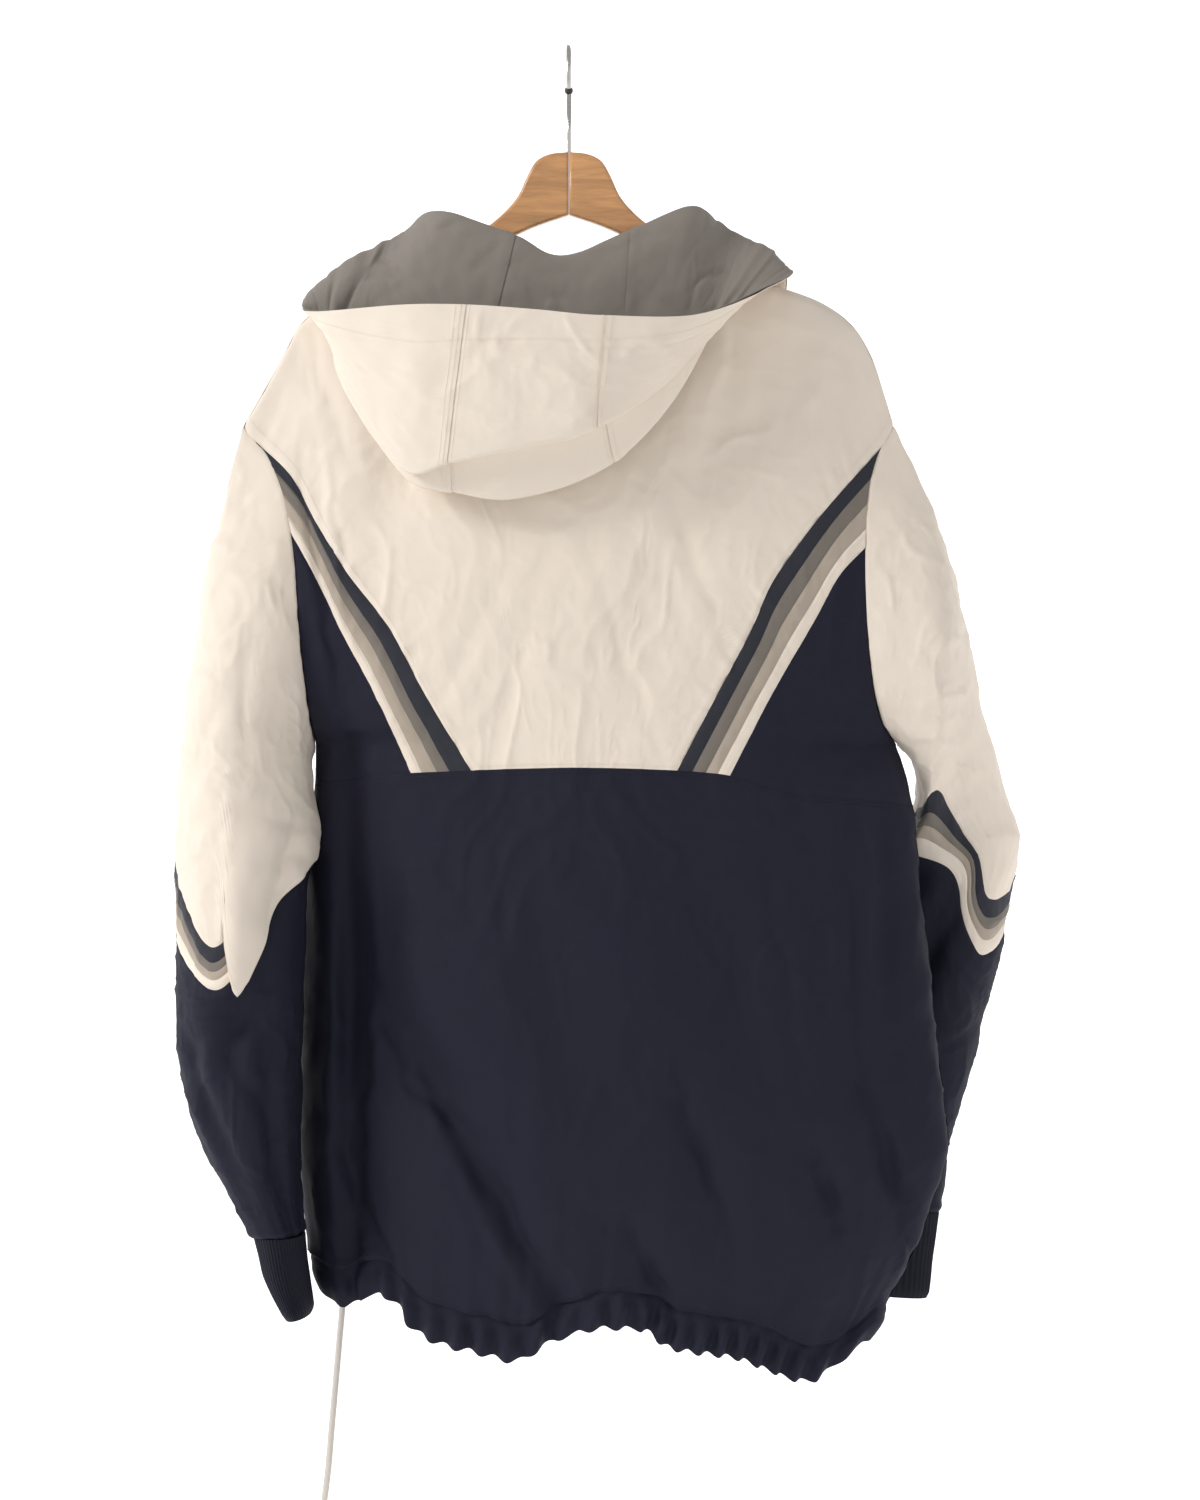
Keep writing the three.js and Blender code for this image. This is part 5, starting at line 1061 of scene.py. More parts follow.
def build_back():
    cloth = finishes()
    body_cloth("back_yoke", BACK, yoke_places(*grid(500, 400, FINE)),
               {"left": "puckered", "right": "puckered", "bottom": "stripe", "top": "plain"},
               "shell_white", cloth["shell_white"], [("left", 2), ("right", 2), ("bottom", 1)])
    for name in SIDES:
        for k, (tone, slot) in enumerate(STRIPE_SLOTS.items()):
            s, v = grid(24, 290, FINE)
            places = mix(stripe_line(name, k)(v), stripe_line(name, k + 1)(v), s[..., None])
            body_cloth(f"back_stripe_{tone}_{name}", BACK, places,
                       {"left": "stripe", "right": "stripe", "bottom": "stripe"}, slot, cloth[slot],
                       [("left", 2)] if tone == "white" else [])
        body_cloth(f"back_side_{name}", BACK, side_places(name, *grid(90, 210, FINE)),
                   {"left": "plain", "right": "stripe", "bottom": "stripe"},
                   "shell_navy", cloth["shell_navy"])
    body_cloth("back_lower", BACK, lower_places(*grid(500, 400, FINE)),
               {"top": "stripe", "bottom": "gathered", "left": "plain", "right": "plain"},
               "shell_navy", cloth["shell_navy"], [("top", 1), ("bottom", 1)])


def build_fronts():
    cloth = finishes()
    for name in SIDES:
        body_cloth(f"front_upper_{name}", FRONT, front_upper_places(name, *grid(250, 300, COARSE)),
                   {"bottom": "stripe", "right": "plain"}, "shell_white", cloth["shell_white"])
        body_cloth(f"front_lower_{name}", FRONT, front_lower_places(name, *grid(250, 560, COARSE)),
                   {"top": "stripe", "bottom": "gathered", "right": "plain"},
                   "shell_navy", cloth["shell_navy"])


HEM_TUCKED = 0.16  # share of the casing's height that goes up behind the body's cloth
HEM_WAVES = {BACK: 24, FRONT: 9}  # gathers along the back and along each front
HEM_RIPPLE = 3.2


def hem_points(side, places, s, v):
    """The casing below the body: it ripples where the drawstring gathers it."""
    points = on_body(side, places)
    step = np.array([0, 2.0])
    down = on_body(side, places - step) - on_body(side, places + step)
    out = np.cross(np.gradient(points, axis=1), down)
    out *= np.sign(np.sum(out[..., 1]) * side)
    out[..., 2] = 0
    out /= np.linalg.norm(out, axis=-1, keepdims=True)
    lift = body_lift(side, places, points)
    calm = np.minimum(1, np.minimum(12 * s, 12 * (1 - s)))
    ripple = np.sin(2 * np.pi * HEM_WAVES[side] * s + 1.7 * np.sin(9 * s)) * HEM_RIPPLE * calm
    fine = NOISE(points / np.array([7.0, 7.0, 30.0]) + 41.0) * 1.1 * calm
    ease = np.clip(2.5 * v, 0, 1)
    fallen = v * HEM_HEIGHT
    top = places[..., 1]
    left, right = body_edge("left", top), body_edge("right", top)
    share = (points[..., 0] - left) / (right - left)
    moved = mix(body_edge("left", top - fallen), body_edge("right", top - fallen), share)
    z = points[..., 2] - fallen - ripple * 0.5 * v * v
    base = np.stack([moved, points[..., 1], z], axis=-1)
    shove = ease * (ripple + 3 * np.sin(np.pi * v)) + (1 - ease) * lift + fine * ease
    shove = shove - 0.9 * np.exp(-((fallen / 1.5) ** 2)) - 1.2 * (v < 0)
    shove = shove + 0.5 * np.exp(-(((fallen - 4) / 1.6) ** 2))
    return base + out * shove[..., None], out


def build_hems():
    cloth = finishes()
    s, v = shares(15, 300)
    v = v * (1 + HEM_TUCKED) - HEM_TUCKED
    top = lower_places(s, np.ones_like(s))
    points, normals = hem_points(BACK, top, s, v)
    cloth_piece("hem_back", points, normals, cloth["shell_navy"])
    for name in SIDES:
        s, v = shares(9, 90)
        v = v * (1 + HEM_TUCKED) - HEM_TUCKED
        points, normals = hem_points(FRONT, front_low(name)(s), s, v)
        cloth_piece(f"hem_front_{name}", points, normals, cloth["shell_navy"])


def tube_normals(points, centre):
    """Unit normals of a tube whose last column repeats its first."""
    around = np.concatenate([points[:, -2:-1], points, points[:, 1:2]], axis=1)
    normals = unit(np.cross(around[:, 2:] - around[:, :-2], np.gradient(points, axis=0)))
    return normals if np.sum(normals * (points - centre)) > 0 else -normals


SLEEVE_CRUMPLE = 3.2
SLEEVE_COLUMNS = 170  # points round each sleeve


def sleeve_cloth(node, name, material, rows, high, low, edges, lip=None):
    """A length of sleeve between two lines round it, which are given as functions of the turn."""
    turn, v = np.meshgrid(np.linspace(0, 2 * np.pi, SLEEVE_COLUMNS), rows)
    first = high(turn)
    last = low(turn)
    s = mix(first, last, v)
    off = 0 * s
    if lip:
        inside = smooth_step(
            np.clip((turn - lip["from"]) / 0.35, 0, 1) * np.clip((lip["to"] - turn) / 0.5, 0, 1))
        turned = lip["turned"]
        lowest = last + lip["fall"]
        returning = mix(lowest, last, (v - turned) / (1 - turned))
        fallen = np.where(v <= turned, mix(first, lowest, v / turned), returning)
        s = mix(s, fallen, inside)
        rise = smooth_step(np.clip((v - 0.45) / 0.3, 0, 1))
        back = np.clip((1 - v) / (1 - turned), 0, 1)
        off = inside * lip["off"] * rise * np.where(v <= turned, 1, back**0.5)
    points = sleeve_point(name, s, turn)
    _, centre = tube_ring(SLEEVES[name], s, turn)
    normals = tube_normals(points, centre)
    look = bpy.context.scene.jacket_sizes
    calm = np.clip(s / 0.05, 0, 1) * np.clip((1 - s) / 0.04, 0.2, 1)
    lift = crumple(points, 38, SLEEVE_CRUMPLE * 0.62) + crumple(points + 300, 15, SLEEVE_CRUMPLE * 0.22)
    lift = calm * lift * look.crumple + seam_depth(points, edges) * look.pucker + off
    points = points + normals * lift[..., None]
    points[:, -1] = points[:, 0]
    cloth_piece(node, points, normals, material, closed=True)


def build_sleeve(name):
    cloth = finishes()
    lip = ELBOW_LIP if name == "left" else None
    upper_rows = np.linspace(0, 1, 100)
    if lip:
        upper_rows = np.concatenate([np.linspace(0, 0.78, 72), np.linspace(0.79, 1, 34)])
    sleeve_cloth(f"sleeve_upper_{name}", name, cloth["shell_white"], upper_rows,
                 lambda turn: 0 * turn, lambda turn: chevron(name, 0, turn),
                 {"top": "plain", "bottom": "stripe"}, lip)
    for k, (tone, slot) in enumerate(STRIPE_SLOTS.items()):
        sleeve_cloth(f"sleeve_stripe_{tone}_{name}", name, cloth[slot], np.linspace(0, 1, 7),
                     lambda turn, k=k: chevron(name, k, turn), lambda turn, k=k: chevron(name, k + 1, turn),
                     {"top": "stripe", "bottom": "stripe"})
    sleeve_cloth(f"sleeve_lower_{name}", name, cloth["shell_navy"], np.linspace(0, 1, 100),
                 lambda turn: chevron(name, 4, turn), lambda turn: 1 + 0 * turn,
                 {"top": "stripe", "bottom": "gathered"})


RIBS = 48
RIB_DEPTH = 0.55
CUFF_WALL = 1.6


def build_cuff(name):
    s, turn = np.linspace(0, 1, 16), np.linspace(0, 2 * np.pi, RIBS * 6 + 1)
    turn, s = np.meshgrid(turn, s)
    point, centre = tube_ring(CUFFS[name], s, turn)
    out = point - centre
    out[..., 2] = 0
    out /= np.linalg.norm(out, axis=-1, keepdims=True)
    sway = NOISE(point / 18 + 3.0) * 0.8 * np.sin(np.pi * np.clip(s, 0, 1))
    rib = RIB_DEPTH * np.cos(RIBS * turn) * np.clip(12 * (1 - s), 0.2, 1)
    rolled = -1.4 * np.clip((s - 0.93) / 0.07, 0, 1) ** 2
    points = point + out * (rib + sway + rolled)[..., None]
    points[:, -1] = points[:, 0]
    cloth_piece(f"cuff_{name}", points, out, finishes()["rib_knit"], closed=True, thick=CUFF_WALL)


HOOD_SHELL_OUT = 1.25  # how far each layer's face stands from the hood's middle surface
HOOD_LINING_OUT = 0.95
HOOD_CASING = 0.93  # how far down the stitch line of the opening's band lies, as a share
FELL_WIDTH = 9.0
# The sharp folds lie at these shares of the way down the hood, where the cloth stays calm.
HOOD_FOLDS = (0.1, 0.505, 0.587, 0.655)


def build_hood():
    cloth = finishes()
    look = bpy.context.scene.jacket_sizes
    w = np.linspace(0, 1, 150)
    for part, (start, end) in HOOD_SPLITS.items():
        u = np.linspace(start, end, 110 if part != "centre" else 48)
        middle = hood_surface(u, w)
        normals = raw_normals(middle)
        shown = w[:, None] + 0 * u[None, :]
        calm = np.clip(shown / 0.08, 0, 1) * np.clip((1.01 - shown) / 0.05, 0.3, 1)
        for fold in HOOD_FOLDS:
            calm = calm * (1 - 0.9 * np.exp(-(((shown - fold) / 0.03) ** 2)))
        lift = (crumple(middle, 40, 2.0) + crumple(middle + 300, 15, 0.6)) * calm * look.crumple
        runs = edge_runs(middle)
        seams = {"left": ("right",), "centre": ("left", "right"), "right": ("left",)}[part]
        fell = 0 * shown
        if part != "centre":
            for edge in seams:
                fell = fell + 0.7 / (1 + np.exp((runs[edge][0] - FELL_WIDTH) * 2))
                fell = fell - 0.35 * np.exp(-(((runs[edge][0] - FELL_WIDTH + 2) / 0.8) ** 2))
        looks = {edge: "flat" for edge in seams}
        pucker = (seam_depth(middle, looks) + fell) * look.pucker
        from_band = runs["bottom"][0]
        casing = from_band - from_band[:1] * (1 - HOOD_CASING)
        stitched = -0.5 * np.exp(-((casing / 1.3) ** 2))
        stitched += 0.45 * np.clip(NOISE(middle / 8 + 12), -0.2, 1) * np.exp(-np.abs(casing) / 9)
        for layer, face, out, slot in (
            ("shell", 1, HOOD_SHELL_OUT, "shell_white"), ("lining", -1, HOOD_LINING_OUT, "hood_lining"),
        ):
            shove = face * (out + pucker + stitched) + lift
            points = middle + normals * shove[..., None]
            if layer == "shell":
                row = int(HOOD_CASING * (len(w) - 1))
                sew(slot, points, normals * face, [("top", row), *((edge, 1) for edge in seams)])
                if part != "centre":
                    column = int(np.argmax(runs[seams[0]][0][-20] < FELL_WIDTH - 1.5))
                    cells = column if part == "right" else len(u) - 1 - column
                    sew(slot, points, normals * face, [(seams[0], abs(cells))])
            cloth_piece(f"hood_{layer}_{part}", points, normals * face, cloth[slot])


def sweep(name, path, radius, sides):
    """A round tube along a path, as a closed mesh with a UV map in metres."""
    path = np.asarray(path, float)
    radii = np.broadcast_to(radius, len(path)).astype(float)
    ways = np.gradient(path, axis=0)
    ways /= np.linalg.norm(ways, axis=-1, keepdims=True)
    side = np.cross(ways[0], [0.37, 0.61, 0.7])
    rings = []
    turn = np.linspace(0, 2 * np.pi, sides + 1)
    for way, at, wide in zip(ways, path, radii):
        side = side - way * np.dot(side, way)
        side /= np.linalg.norm(side)
        up = np.cross(way, side)
        rings.append(at + wide * (np.cos(turn)[:, None] * side + np.sin(turn)[:, None] * up))
    points = np.array(rings)
    points[:, -1] = points[:, 0]
    mesh = cloth_mesh(name, points, points - path[:, None], True)
    bm = bmesh.new()
    bm.from_mesh(mesh)
    bmesh.ops.holes_fill(bm, edges=[edge for edge in bm.edges if edge.is_boundary], sides=sides)
    bm.to_mesh(mesh)
    bm.free()
    return mesh


def build_drawcord():
    path = line_through(CORD_ROUTE)(np.linspace(0, 1, 121))
    fray = 1 + 0.14 * np.clip((np.linspace(0, 1, 121) - 0.985) / 0.015, 0, 1)
    mesh = sweep("drawcord_woven", path, CORD_DIAMETER / 2 * fray, 20)
    cord = add_piece("drawcord_woven", mesh, cord_material(), ["drawcord"])


def cord_material():
    """Braided cord: strands that cross on the slant, from its own UV map."""
    material, shader = new_material("braided cord", 0.8, {"Sheen Weight": 0.2})
    shader.inputs["Base Color"].default_value = (*SLOT_COLOURS["drawcord"], 1)
    nodes, links = material.node_tree.nodes, material.node_tree.links
    thread = nodes.new("ShaderNodeUVMap")
    thread.uv_map = "cloth"
    split = nodes.new("ShaderNodeSeparateXYZ")
    links.new(thread.outputs[0], split.inputs[0])
    per_round = 2 * math.pi * CORD_STRANDS / (math.pi * CORD_DIAMETER * MM)
    around = math_node(nodes, links, "MULTIPLY", split.outputs[0], per_round)
    along = math_node(nodes, links, "MULTIPLY", split.outputs[1], 2 * math.pi / (BRAID_PITCH * MM))
    one = math_node(nodes, links, "SINE", math_node(nodes, links, "ADD", around, along))
    other = math_node(nodes, links, "SINE", math_node(nodes, links, "SUBTRACT", around, along))
    bump = shader_node(nodes, "ShaderNodeBump", {"Strength": 0.7, "Distance": 0.0006})
    links.new(math_node(nodes, links, "MULTIPLY", one, other), bump.inputs["Height"])
    links.new(bump.outputs[0], shader.inputs["Normal"])
    return material


def metal_material(name, slot, roughness):
    """Bright metal with fine scratches and a slightly uneven polish."""
    material, shader = new_material(name, roughness, {"Metallic": 1.0})
    shader.inputs["Base Color"].default_value = (*SLOT_COLOURS[slot], 1)
    nodes, links = material.node_tree.nodes, material.node_tree.links
    place = nodes.new("ShaderNodeTexCoord")
    noise = shader_node(nodes, "ShaderNodeTexNoise", {"Scale": 420.0, "Detail": 3.0})
    links.new(place.outputs["Object"], noise.inputs["Vector"])
    rough = math_node(nodes, links, "MULTIPLY_ADD", noise.outputs[0], 0.18)
    rough.node.inputs[2].default_value = roughness - 0.06
    links.new(rough, shader.inputs["Roughness"])
    return material


def wood_material(name, angle, shade):
    """Varnished wood with long grain that lies along one half of the hanger. Its colour is scaled by shade,
    which is painted light: the half that more light falls on is painted brighter.
    """
    material, shader = new_material(name, 0.35, {"Coat Weight": 0.5, "Coat Roughness": 0.25})
    nodes, links = material.node_tree.nodes, material.node_tree.links
    place = nodes.new("ShaderNodeTexCoord")
    turned = shader_node(
        nodes, "ShaderNodeMapping", {"Rotation": (0, angle, 0), "Scale": (7.0, 60.0, 60.0)})
    links.new(place.outputs["Object"], turned.inputs["Vector"])
    grain = shader_node(nodes, "ShaderNodeTexNoise", {"Scale": 2.2, "Detail": 6.0, "Distortion": 0.6})
    links.new(turned.outputs[0], grain.inputs["Vector"])
    fine = shader_node(nodes, "ShaderNodeTexNoise", {"Scale": 14.0, "Detail": 4.0})
    links.new(turned.outputs[0], fine.inputs["Vector"])
    blend = math_node(nodes, links, "ADD", math_node(nodes, links, "MULTIPLY", grain.outputs[0], 0.75),
                      math_node(nodes, links, "MULTIPLY", fine.outputs[0], 0.25))
    ramp = shader_node(nodes, "ShaderNodeMapRange", {"From Min": 0.35, "From Max": 0.65})
    links.new(blend, ramp.inputs["Value"])
    mixed = nodes.new("ShaderNodeMix")
    mixed.data_type = "RGBA"
    base = SLOT_COLOURS["hanger_wood"]
    # Both grain colours carry the half's painted light (shade).
    mixed.inputs["A"].default_value = (*(c * shade * 0.72 for c in base), 1)
    mixed.inputs["B"].default_value = (*(min(1, c * shade * 1.12) for c in base), 1)
    links.new(ramp.outputs[0], mixed.inputs["Factor"])
    links.new(mixed.outputs["Result"], shader.inputs["Base Color"])
    bump = shader_node(nodes, "ShaderNodeBump", {"Strength": 0.25, "Distance": 0.0003})
    links.new(blend, bump.inputs["Height"])
    links.new(bump.outputs[0], shader.inputs["Normal"])
    return material


# The outline of one wooden half: x and z, from the hook's socket over the shoulder and back underneath.
ARM = [
    (0, -77), (-14, -78.5), (-24, -83.5), (-31, -95), (-38, -110), (-48, -122), (-63, -134.5), (-84, -148),
    (-106, -166), (-142, -182), (-176, -200), (-187, -208), (-191, -215), (-188, -222), (-180, -224),
    (-158, -213), (-120, -190), (-84, -169), (-62, -152), (-45, -142), (-26, -133), (0, -124),
]
ARM_LIFT_FROM = 100.0
ARM_LIFT = 0.07  # the right arm rises by this share of the way beyond
ARM_THICK = 12.0
ARM_BEVEL = 2.5
JOINT_GAP = 0.15
HOOK_STEM = [(0, 0, -76.6), (0, 0, -68), (0, 0, -58), (0, 4, -47), (0, 12, -38.5)]
HOOK_RADIUS = 22.0
HOOK_CENTRE_Z = -20.0
HOOK_WIRE = 2.0  # half of the wire's thickness
HOOK_TURN = (-0.45, math.pi + 0.65)  # where the hook's arc starts and ends
HOOK_TIP_RADIUS = 3.2


def build_hanger():
    # shade is painted light: the right half's wood is painted 4% brighter than the left, where more light
    # falls on it.
    for name, angle, shade in (("left", 0.62, 1.0), ("right", -0.5, 1.04)):
        outline = line_through(ARM)(np.linspace(0, 1, 120))
        x, z = outline[:, 0], outline[:, 1]
        if name == "right":
            x, z = -x, z + ARM_LIFT * np.maximum(0, np.abs(x) - ARM_LIFT_FROM)
        x = x + sign(name) * JOINT_GAP
        bm = bmesh.new()
        bmesh.ops.create_circle(bm, segments=len(x), radius=1, cap_ends=True)
        bm.verts.ensure_lookup_table()
        for vert, at_x, at_z in zip(bm.verts, x, z):
            vert.co = Vector((at_x, -ARM_THICK / 2, at_z)) * MM
        pulled = bmesh.ops.extrude_face_region(bm, geom=bm.faces[:])
        moved = [part for part in pulled["geom"] if isinstance(part, bmesh.types.BMVert)]
        bmesh.ops.translate(bm, vec=(0, ARM_THICK * MM, 0), verts=moved)
        rims = [edge for edge in bm.edges if abs(edge.verts[0].co.y - edge.verts[1].co.y) < 1e-6]
        bmesh.ops.bevel(bm, geom=rims, offset=ARM_BEVEL * MM, segments=3, profile=0.5, affect="EDGES",
                        material=-1)
        bmesh.ops.recalc_face_normals(bm, faces=bm.faces)
        for face in bm.faces:
            face.smooth = len(face.verts) < 5
        piece = f"hanger_wood_{name}"
        wood = wood_material(f"varnished wood, {name} half", angle, shade)
        add_piece(piece, mesh_of(bm, piece), wood, [f"hanger_arm_{name}"])


def build_hook():
    turn = np.linspace(*HOOK_TURN, 60)
    z = HOOK_CENTRE_Z + HOOK_RADIUS * np.sin(turn)
    arc = np.stack([0 * turn, HOOK_RADIUS * np.cos(turn), z], axis=-1)
    path = np.vstack([line_through(HOOK_STEM)(np.linspace(0, 1, 40))[:-1], arc])
    steel = metal_material("polished steel", "hook_steel", 0.22)
    add_piece("hook_wire", sweep("hook_wire", path, HOOK_WIRE, 20), steel, ["hanger_hook"])
    bm = bmesh.new()
    bmesh.ops.create_uvsphere(bm, u_segments=20, v_segments=12, radius=HOOK_TIP_RADIUS * MM,
                              matrix=Matrix.Translation(Vector(arc[-1]) * MM))
    for face in bm.faces:
        face.smooth = True
    knob, shader = new_material("dark hook tip", 0.35, {})
    shader.inputs["Base Color"].default_value = (0.03, 0.028, 0.026, 1)
    add_piece("hook_tip", mesh_of(bm, "hook_tip"), knob)


def dress(node, material):
    """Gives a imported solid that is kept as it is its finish."""
    mesh = CAD_NODES[node].data
    mesh.materials.clear()
    mesh.materials.append(material)


ZIP_TOP_Z = -244.0
ZIP_END_Z = -948.0
TOOTH_PITCH = 2.4
TOOTH_SIZE = (2.0, 1.9, 1.0)
TOOTH_STEP = 0.55  # how far each tooth stands to its own side of the middle
TOOTH_SUNK = 0.8


def build_zip():
    cloth = finishes()
    for name in SIDES:
        dress(f"zip_tape_{name}", cloth["zip_tape"])
    metal = metal_material("zip metal", "zip_metal", 0.3)
    for node in ("zip_slider", "zip_pull_tab", "drawcord_eyelet"):
        dress(node, metal)
    heights = np.arange(ZIP_END_Z, ZIP_TOP_Z, TOOTH_PITCH / 2)
    bm = bmesh.new()
    size = Matrix.Diagonal((*(side * MM for side in TOOTH_SIZE), 1))
    for k, z in enumerate(heights):
        y = float(body_point(FRONT, 0.0, z)[1]) - TOOTH_SUNK
        place = Vector((TOOTH_STEP if k % 2 else -TOOTH_STEP, y, z)) * MM
        bmesh.ops.create_cube(bm, size=1, matrix=Matrix.Translation(place) @ size)
    coil, shader = new_material("zip teeth", 0.4, {})
    shader.inputs["Base Color"].default_value = (*SLOT_COLOURS["zip_teeth"], 1)
    add_piece("zip_teeth", mesh_of(bm, "zip_teeth"), coil, ["zip_chain"])


BOWL_FLOOR = -1.45
BOWL_RADIUS = 8.0
BOWL_CURVE = 1.6
BOWL_HEIGHT = 3.4
BOWL_GLOW = (0.3, 1.0)  # behind the camera, and behind the jacket
CAMERA_PLACE = (0.02325, -3.0, -0.525)
ROOM_LIGHT = 0.45
LIGHT_AIM = Vector((0, 0, -0.55))
# Each soft light: name, place, size and power.
LIGHTS = (
    ("key light", (-2.9, -1.3, 1.3), 0.9, 66.0), ("fill light", (2.6, -2.8, -0.2), 2.2, 3.0),
    ("back light", (0.8, 3.2, 1.4), 2.2, 20.0),
)


def build_camera():
    scene = bpy.context.scene
    camera = bpy.data.objects.new("camera", bpy.data.cameras.new("camera"))
    scene.collection.objects.link(camera)
    camera.data.lens = 96
    camera.data.sensor_width = 36
    camera.location = CAMERA_PLACE
    camera.rotation_euler = (math.radians(90), 0, 0)
    scene.camera = camera
    scene.view_settings.view_transform = "Standard"


def build_bowl():
    """A white paper bowl round the jacket that glows more behind it than behind the camera."""
    bend = [(BOWL_RADIUS - BOWL_CURVE * (1 - math.sin(a)), BOWL_FLOOR + BOWL_CURVE * (1 - math.cos(a)))
            for a in np.linspace(0, math.pi / 2, 12)]
    profile = [(0, BOWL_FLOOR), *bend, (BOWL_RADIUS, BOWL_HEIGHT)]
    bm = bmesh.new()
    verts = [bm.verts.new((r, 0, z)) for r, z in profile]
    edges = [bm.edges.new(pair) for pair in zip(verts, verts[1:])]
    bmesh.ops.spin(bm, geom=verts + edges, cent=(0, 0, 0), axis=(0, 0, 1), angle=2 * math.pi, steps=96,
                   use_merge=True)
    bmesh.ops.remove_doubles(bm, verts=bm.verts, dist=1e-5)
    bmesh.ops.recalc_face_normals(bm, faces=bm.faces)
    for face in bm.faces:
        face.smooth = True
    mesh = mesh_of(bm, "backdrop")
    backdrop = bpy.data.objects.new("backdrop", mesh)
    bpy.context.scene.collection.objects.link(backdrop)
    paper, shader = new_material("white paper", 0.9, {"Emission Strength": 1.0})
    shader.inputs["Base Color"].default_value = (0.5, 0.5, 0.5, 1)
    nodes, links = paper.node_tree.nodes, paper.node_tree.links
    place = nodes.new("ShaderNodeTexCoord")
    split = nodes.new("ShaderNodeSeparateXYZ")
    links.new(place.outputs["Object"], split.inputs[0])
    glow = shader_node(nodes, "ShaderNodeMapRange", {
        "From Min": -4.0, "From Max": 3.0, "To Min": BOWL_GLOW[0], "To Max": BOWL_GLOW[1],
    })
    glow.interpolation_type = "SMOOTHSTEP"
    links.new(split.outputs[1], glow.inputs["Value"])
    links.new(glow.outputs[0], shader.inputs["Emission Color"])
    mesh.materials.append(paper)


def build_lights():
    scene = bpy.context.scene
    world = bpy.data.worlds.new("pale room")
    world.use_nodes = True
    sky = world.node_tree.nodes["Background"].inputs
    sky["Color"].default_value = (1, 1, 1, 1)
    sky["Strength"].default_value = ROOM_LIGHT
    scene.world = world
    for name, place, size, power in LIGHTS:
        light = bpy.data.lights.new(name, "AREA")
        light.size = size
        light.energy = power
        lamp = bpy.data.objects.new(name, light)
        lamp.location = place
        lamp.rotation_euler = (LIGHT_AIM - Vector(place)).to_track_quat("-Z", "Y").to_euler()
        scene.collection.objects.link(lamp)


class JacketSizes(bpy.types.PropertyGroup):
    """Sizes of the cloth that a user may change."""

    cloth: FloatProperty(
        name="Cloth", description="Thickness of the woven cloth", default=0.0005, unit="LENGTH")
    crumple: FloatProperty(
        name="Crumple", description="Strength of the creases from handling", default=1.0, min=0, soft_max=2,
        subtype="FACTOR")
    pucker: FloatProperty(
        name="Pucker", description="Strength of the puckers along the seams", default=1.0, min=0, soft_max=2,
        subtype="FACTOR")
    stitch: FloatProperty(
        name="Stitch", description="Length of one stitch", default=0.0022, unit="LENGTH")


def colour_property(name, slot):
    return FloatVectorProperty(name=name, description=f"Colour of the {name.lower()} cloth", subtype="COLOR",
                               size=3, min=0, max=1, default=SLOT_COLOURS[slot])


class JacketColours(bpy.types.PropertyGroup):
    """Colours of the cloth that a user may change."""

    white: colour_property("White", "shell_white")
    navy: colour_property("Navy", "shell_navy")
    dark: colour_property("Charcoal", "stripe_dark")
    grey: colour_property("Mid grey", "stripe_grey")
    light: colour_property("Light grey", "stripe_light")
    lining: colour_property("Lining", "hood_lining")
    rib: colour_property("Rib", "rib_knit")


class JACKET_OT_stage(bpy.types.Operator):
    """Adds the camera, the soft lights and the pale floor"""

    bl_idname = "jacket.stage"
    bl_label = "Stage"

    def execute(self, context):
        build_camera()
        build_bowl()
        build_lights()
        return {"FINISHED"}


class JACKET_OT_drawcord(bpy.types.Operator):
    """Adds the free end of the hem's drawstring"""

    bl_idname = "jacket.drawcord"
    bl_label = "Drawstring"

    def execute(self, context):
        build_drawcord()
        return {"FINISHED"}


class JACKET_OT_back(bpy.types.Operator):
    """Adds the yoke, the stripes, the side pieces and the lower back"""

    bl_idname = "jacket.back"
    bl_label = "Back"

    def execute(self, context):
        build_back()
        return {"FINISHED"}


class JACKET_OT_fronts(bpy.types.Operator):
    """Adds the upper and lower fronts"""

    bl_idname = "jacket.fronts"
    bl_label = "Fronts"

    def execute(self, context):
        build_fronts()
        return {"FINISHED"}


class JACKET_OT_hem(bpy.types.Operator):
    """Adds the gathered casing round the hem"""

    bl_idname = "jacket.hem"
    bl_label = "Hem casing"

    def execute(self, context):
        build_hems()
        return {"FINISHED"}


class JACKET_OT_sleeves(bpy.types.Operator):
    """Adds both sleeves with their chevrons"""

    bl_idname = "jacket.sleeves"
    bl_label = "Sleeves"

    def execute(self, context):
        for name in SIDES:
            build_sleeve(name)
        return {"FINISHED"}


class JACKET_OT_cuffs(bpy.types.Operator):
    """Adds the ribbed cuffs"""

    bl_idname = "jacket.cuffs"
    bl_label = "Cuffs"

    def execute(self, context):
        for name in SIDES:
            build_cuff(name)
        return {"FINISHED"}


class JACKET_OT_hood(bpy.types.Operator):
    """Adds the folded hood, its lining and its flat-felled seams"""

    bl_idname = "jacket.hood"
    bl_label = "Hood"

    def execute(self, context):
        build_hood()
        return {"FINISHED"}


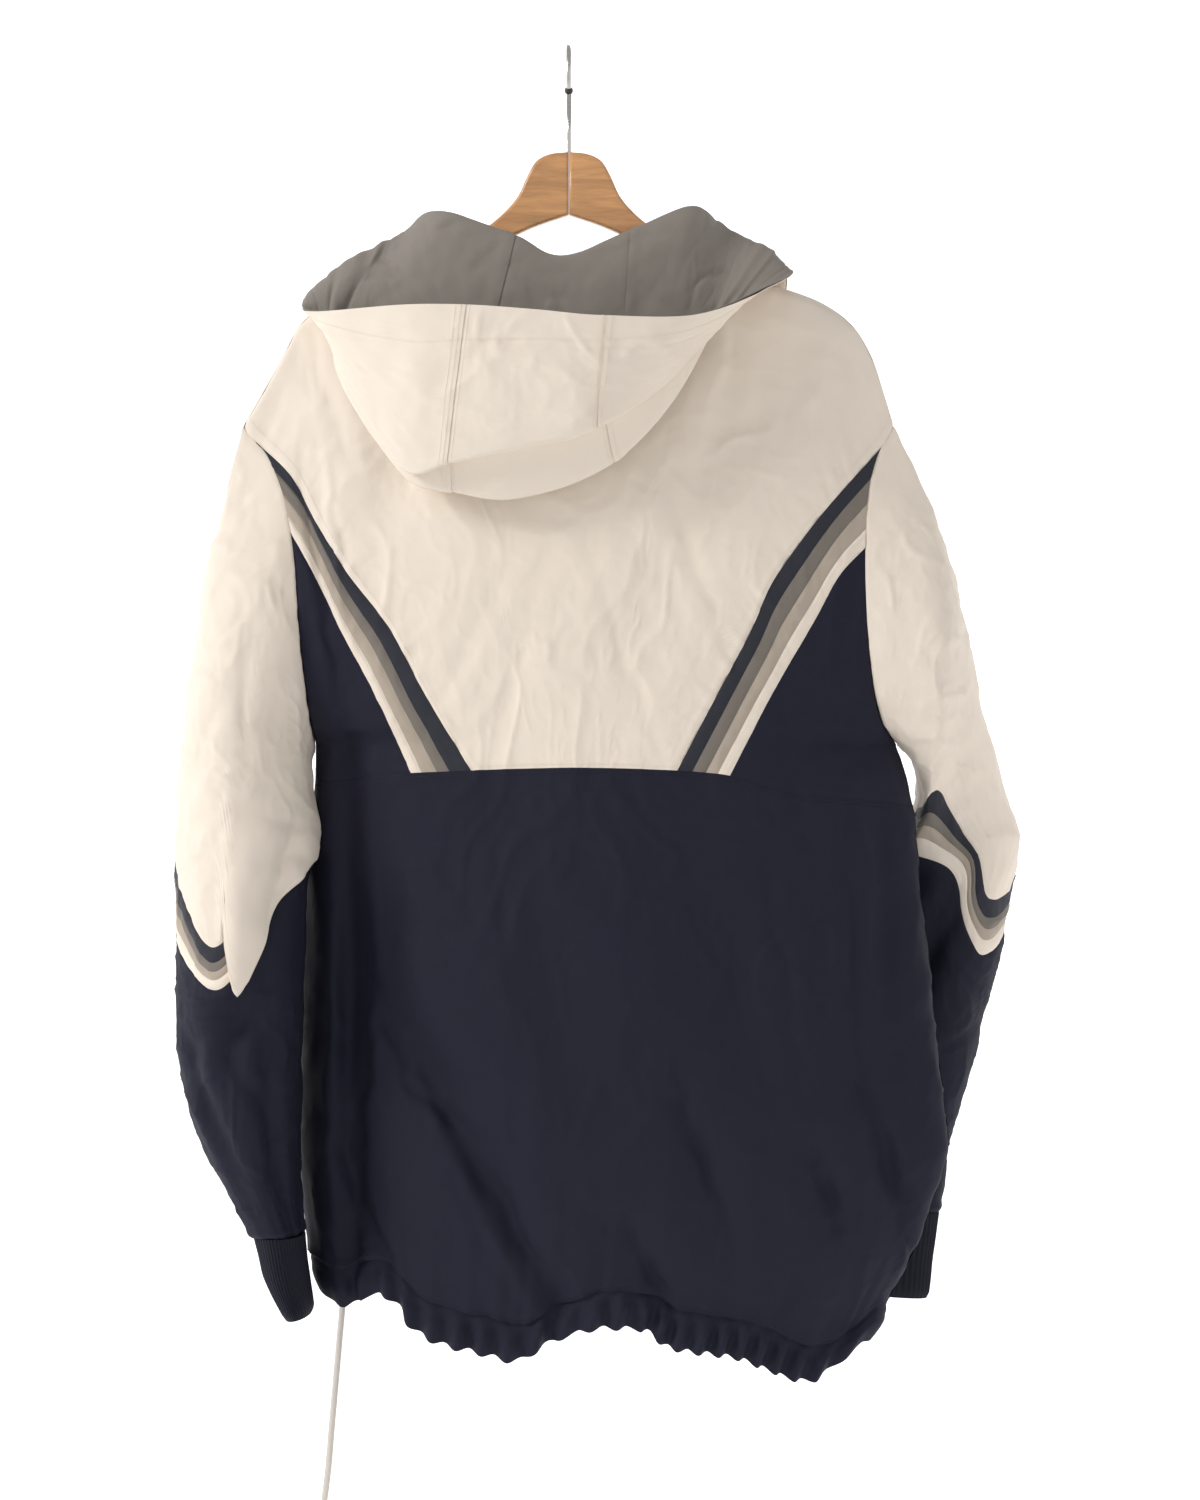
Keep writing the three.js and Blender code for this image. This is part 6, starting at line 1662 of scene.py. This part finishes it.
class JACKET_OT_stitching(bpy.types.Operator):
    """Adds the topstitching along the seams that were built"""

    bl_idname = "jacket.stitching"
    bl_label = "Topstitching"

    def execute(self, context):
        build_stitching()
        return {"FINISHED"}


class JACKET_OT_zip(bpy.types.Operator):
    """Adds the zip's tapes and coil, and finishes its metal"""

    bl_idname = "jacket.zip"
    bl_label = "Zip"

    def execute(self, context):
        build_zip()
        return {"FINISHED"}


class JACKET_OT_hanger(bpy.types.Operator):
    """Adds the wooden hanger and its hook"""

    bl_idname = "jacket.hanger"
    bl_label = "Hanger"

    def execute(self, context):
        build_hanger()
        build_hook()
        return {"FINISHED"}


OPERATORS = (
    JACKET_OT_stage, JACKET_OT_drawcord, JACKET_OT_back, JACKET_OT_fronts, JACKET_OT_hem, JACKET_OT_sleeves,
    JACKET_OT_cuffs, JACKET_OT_hood, JACKET_OT_stitching, JACKET_OT_zip, JACKET_OT_hanger,
)


class JACKET_PT_panel(bpy.types.Panel):
    """Lists the jacket's pieces in the sidebar"""

    bl_label = "Jacket"
    bl_idname = "JACKET_PT_panel"
    bl_space_type = "VIEW_3D"
    bl_region_type = "UI"
    bl_category = "Jacket"

    def draw(self, context):
        for group in (context.scene.jacket_sizes, context.scene.jacket_colours):
            for name in type(group).__annotations__:
                self.layout.prop(group, name)
        for operator in OPERATORS:
            self.layout.operator(operator.bl_idname)


CLASSES = (JacketSizes, JacketColours, *OPERATORS, JACKET_PT_panel)


def register():
    for cls in CLASSES:
        bpy.utils.register_class(cls)
    bpy.types.Scene.jacket_sizes = PointerProperty(type=JacketSizes)
    bpy.types.Scene.jacket_colours = PointerProperty(type=JacketColours)


def unregister():
    del bpy.types.Scene.jacket_colours
    del bpy.types.Scene.jacket_sizes
    for cls in reversed(CLASSES):
        bpy.utils.unregister_class(cls)


def main():
    register()
    for piece in ("stage", "drawcord", "back", "fronts", "hem", "sleeves", "cuffs", "hood",
                  "stitching", "zip", "hanger"):
        getattr(bpy.ops.jacket, piece)()


if __name__ == "__main__":
    main()
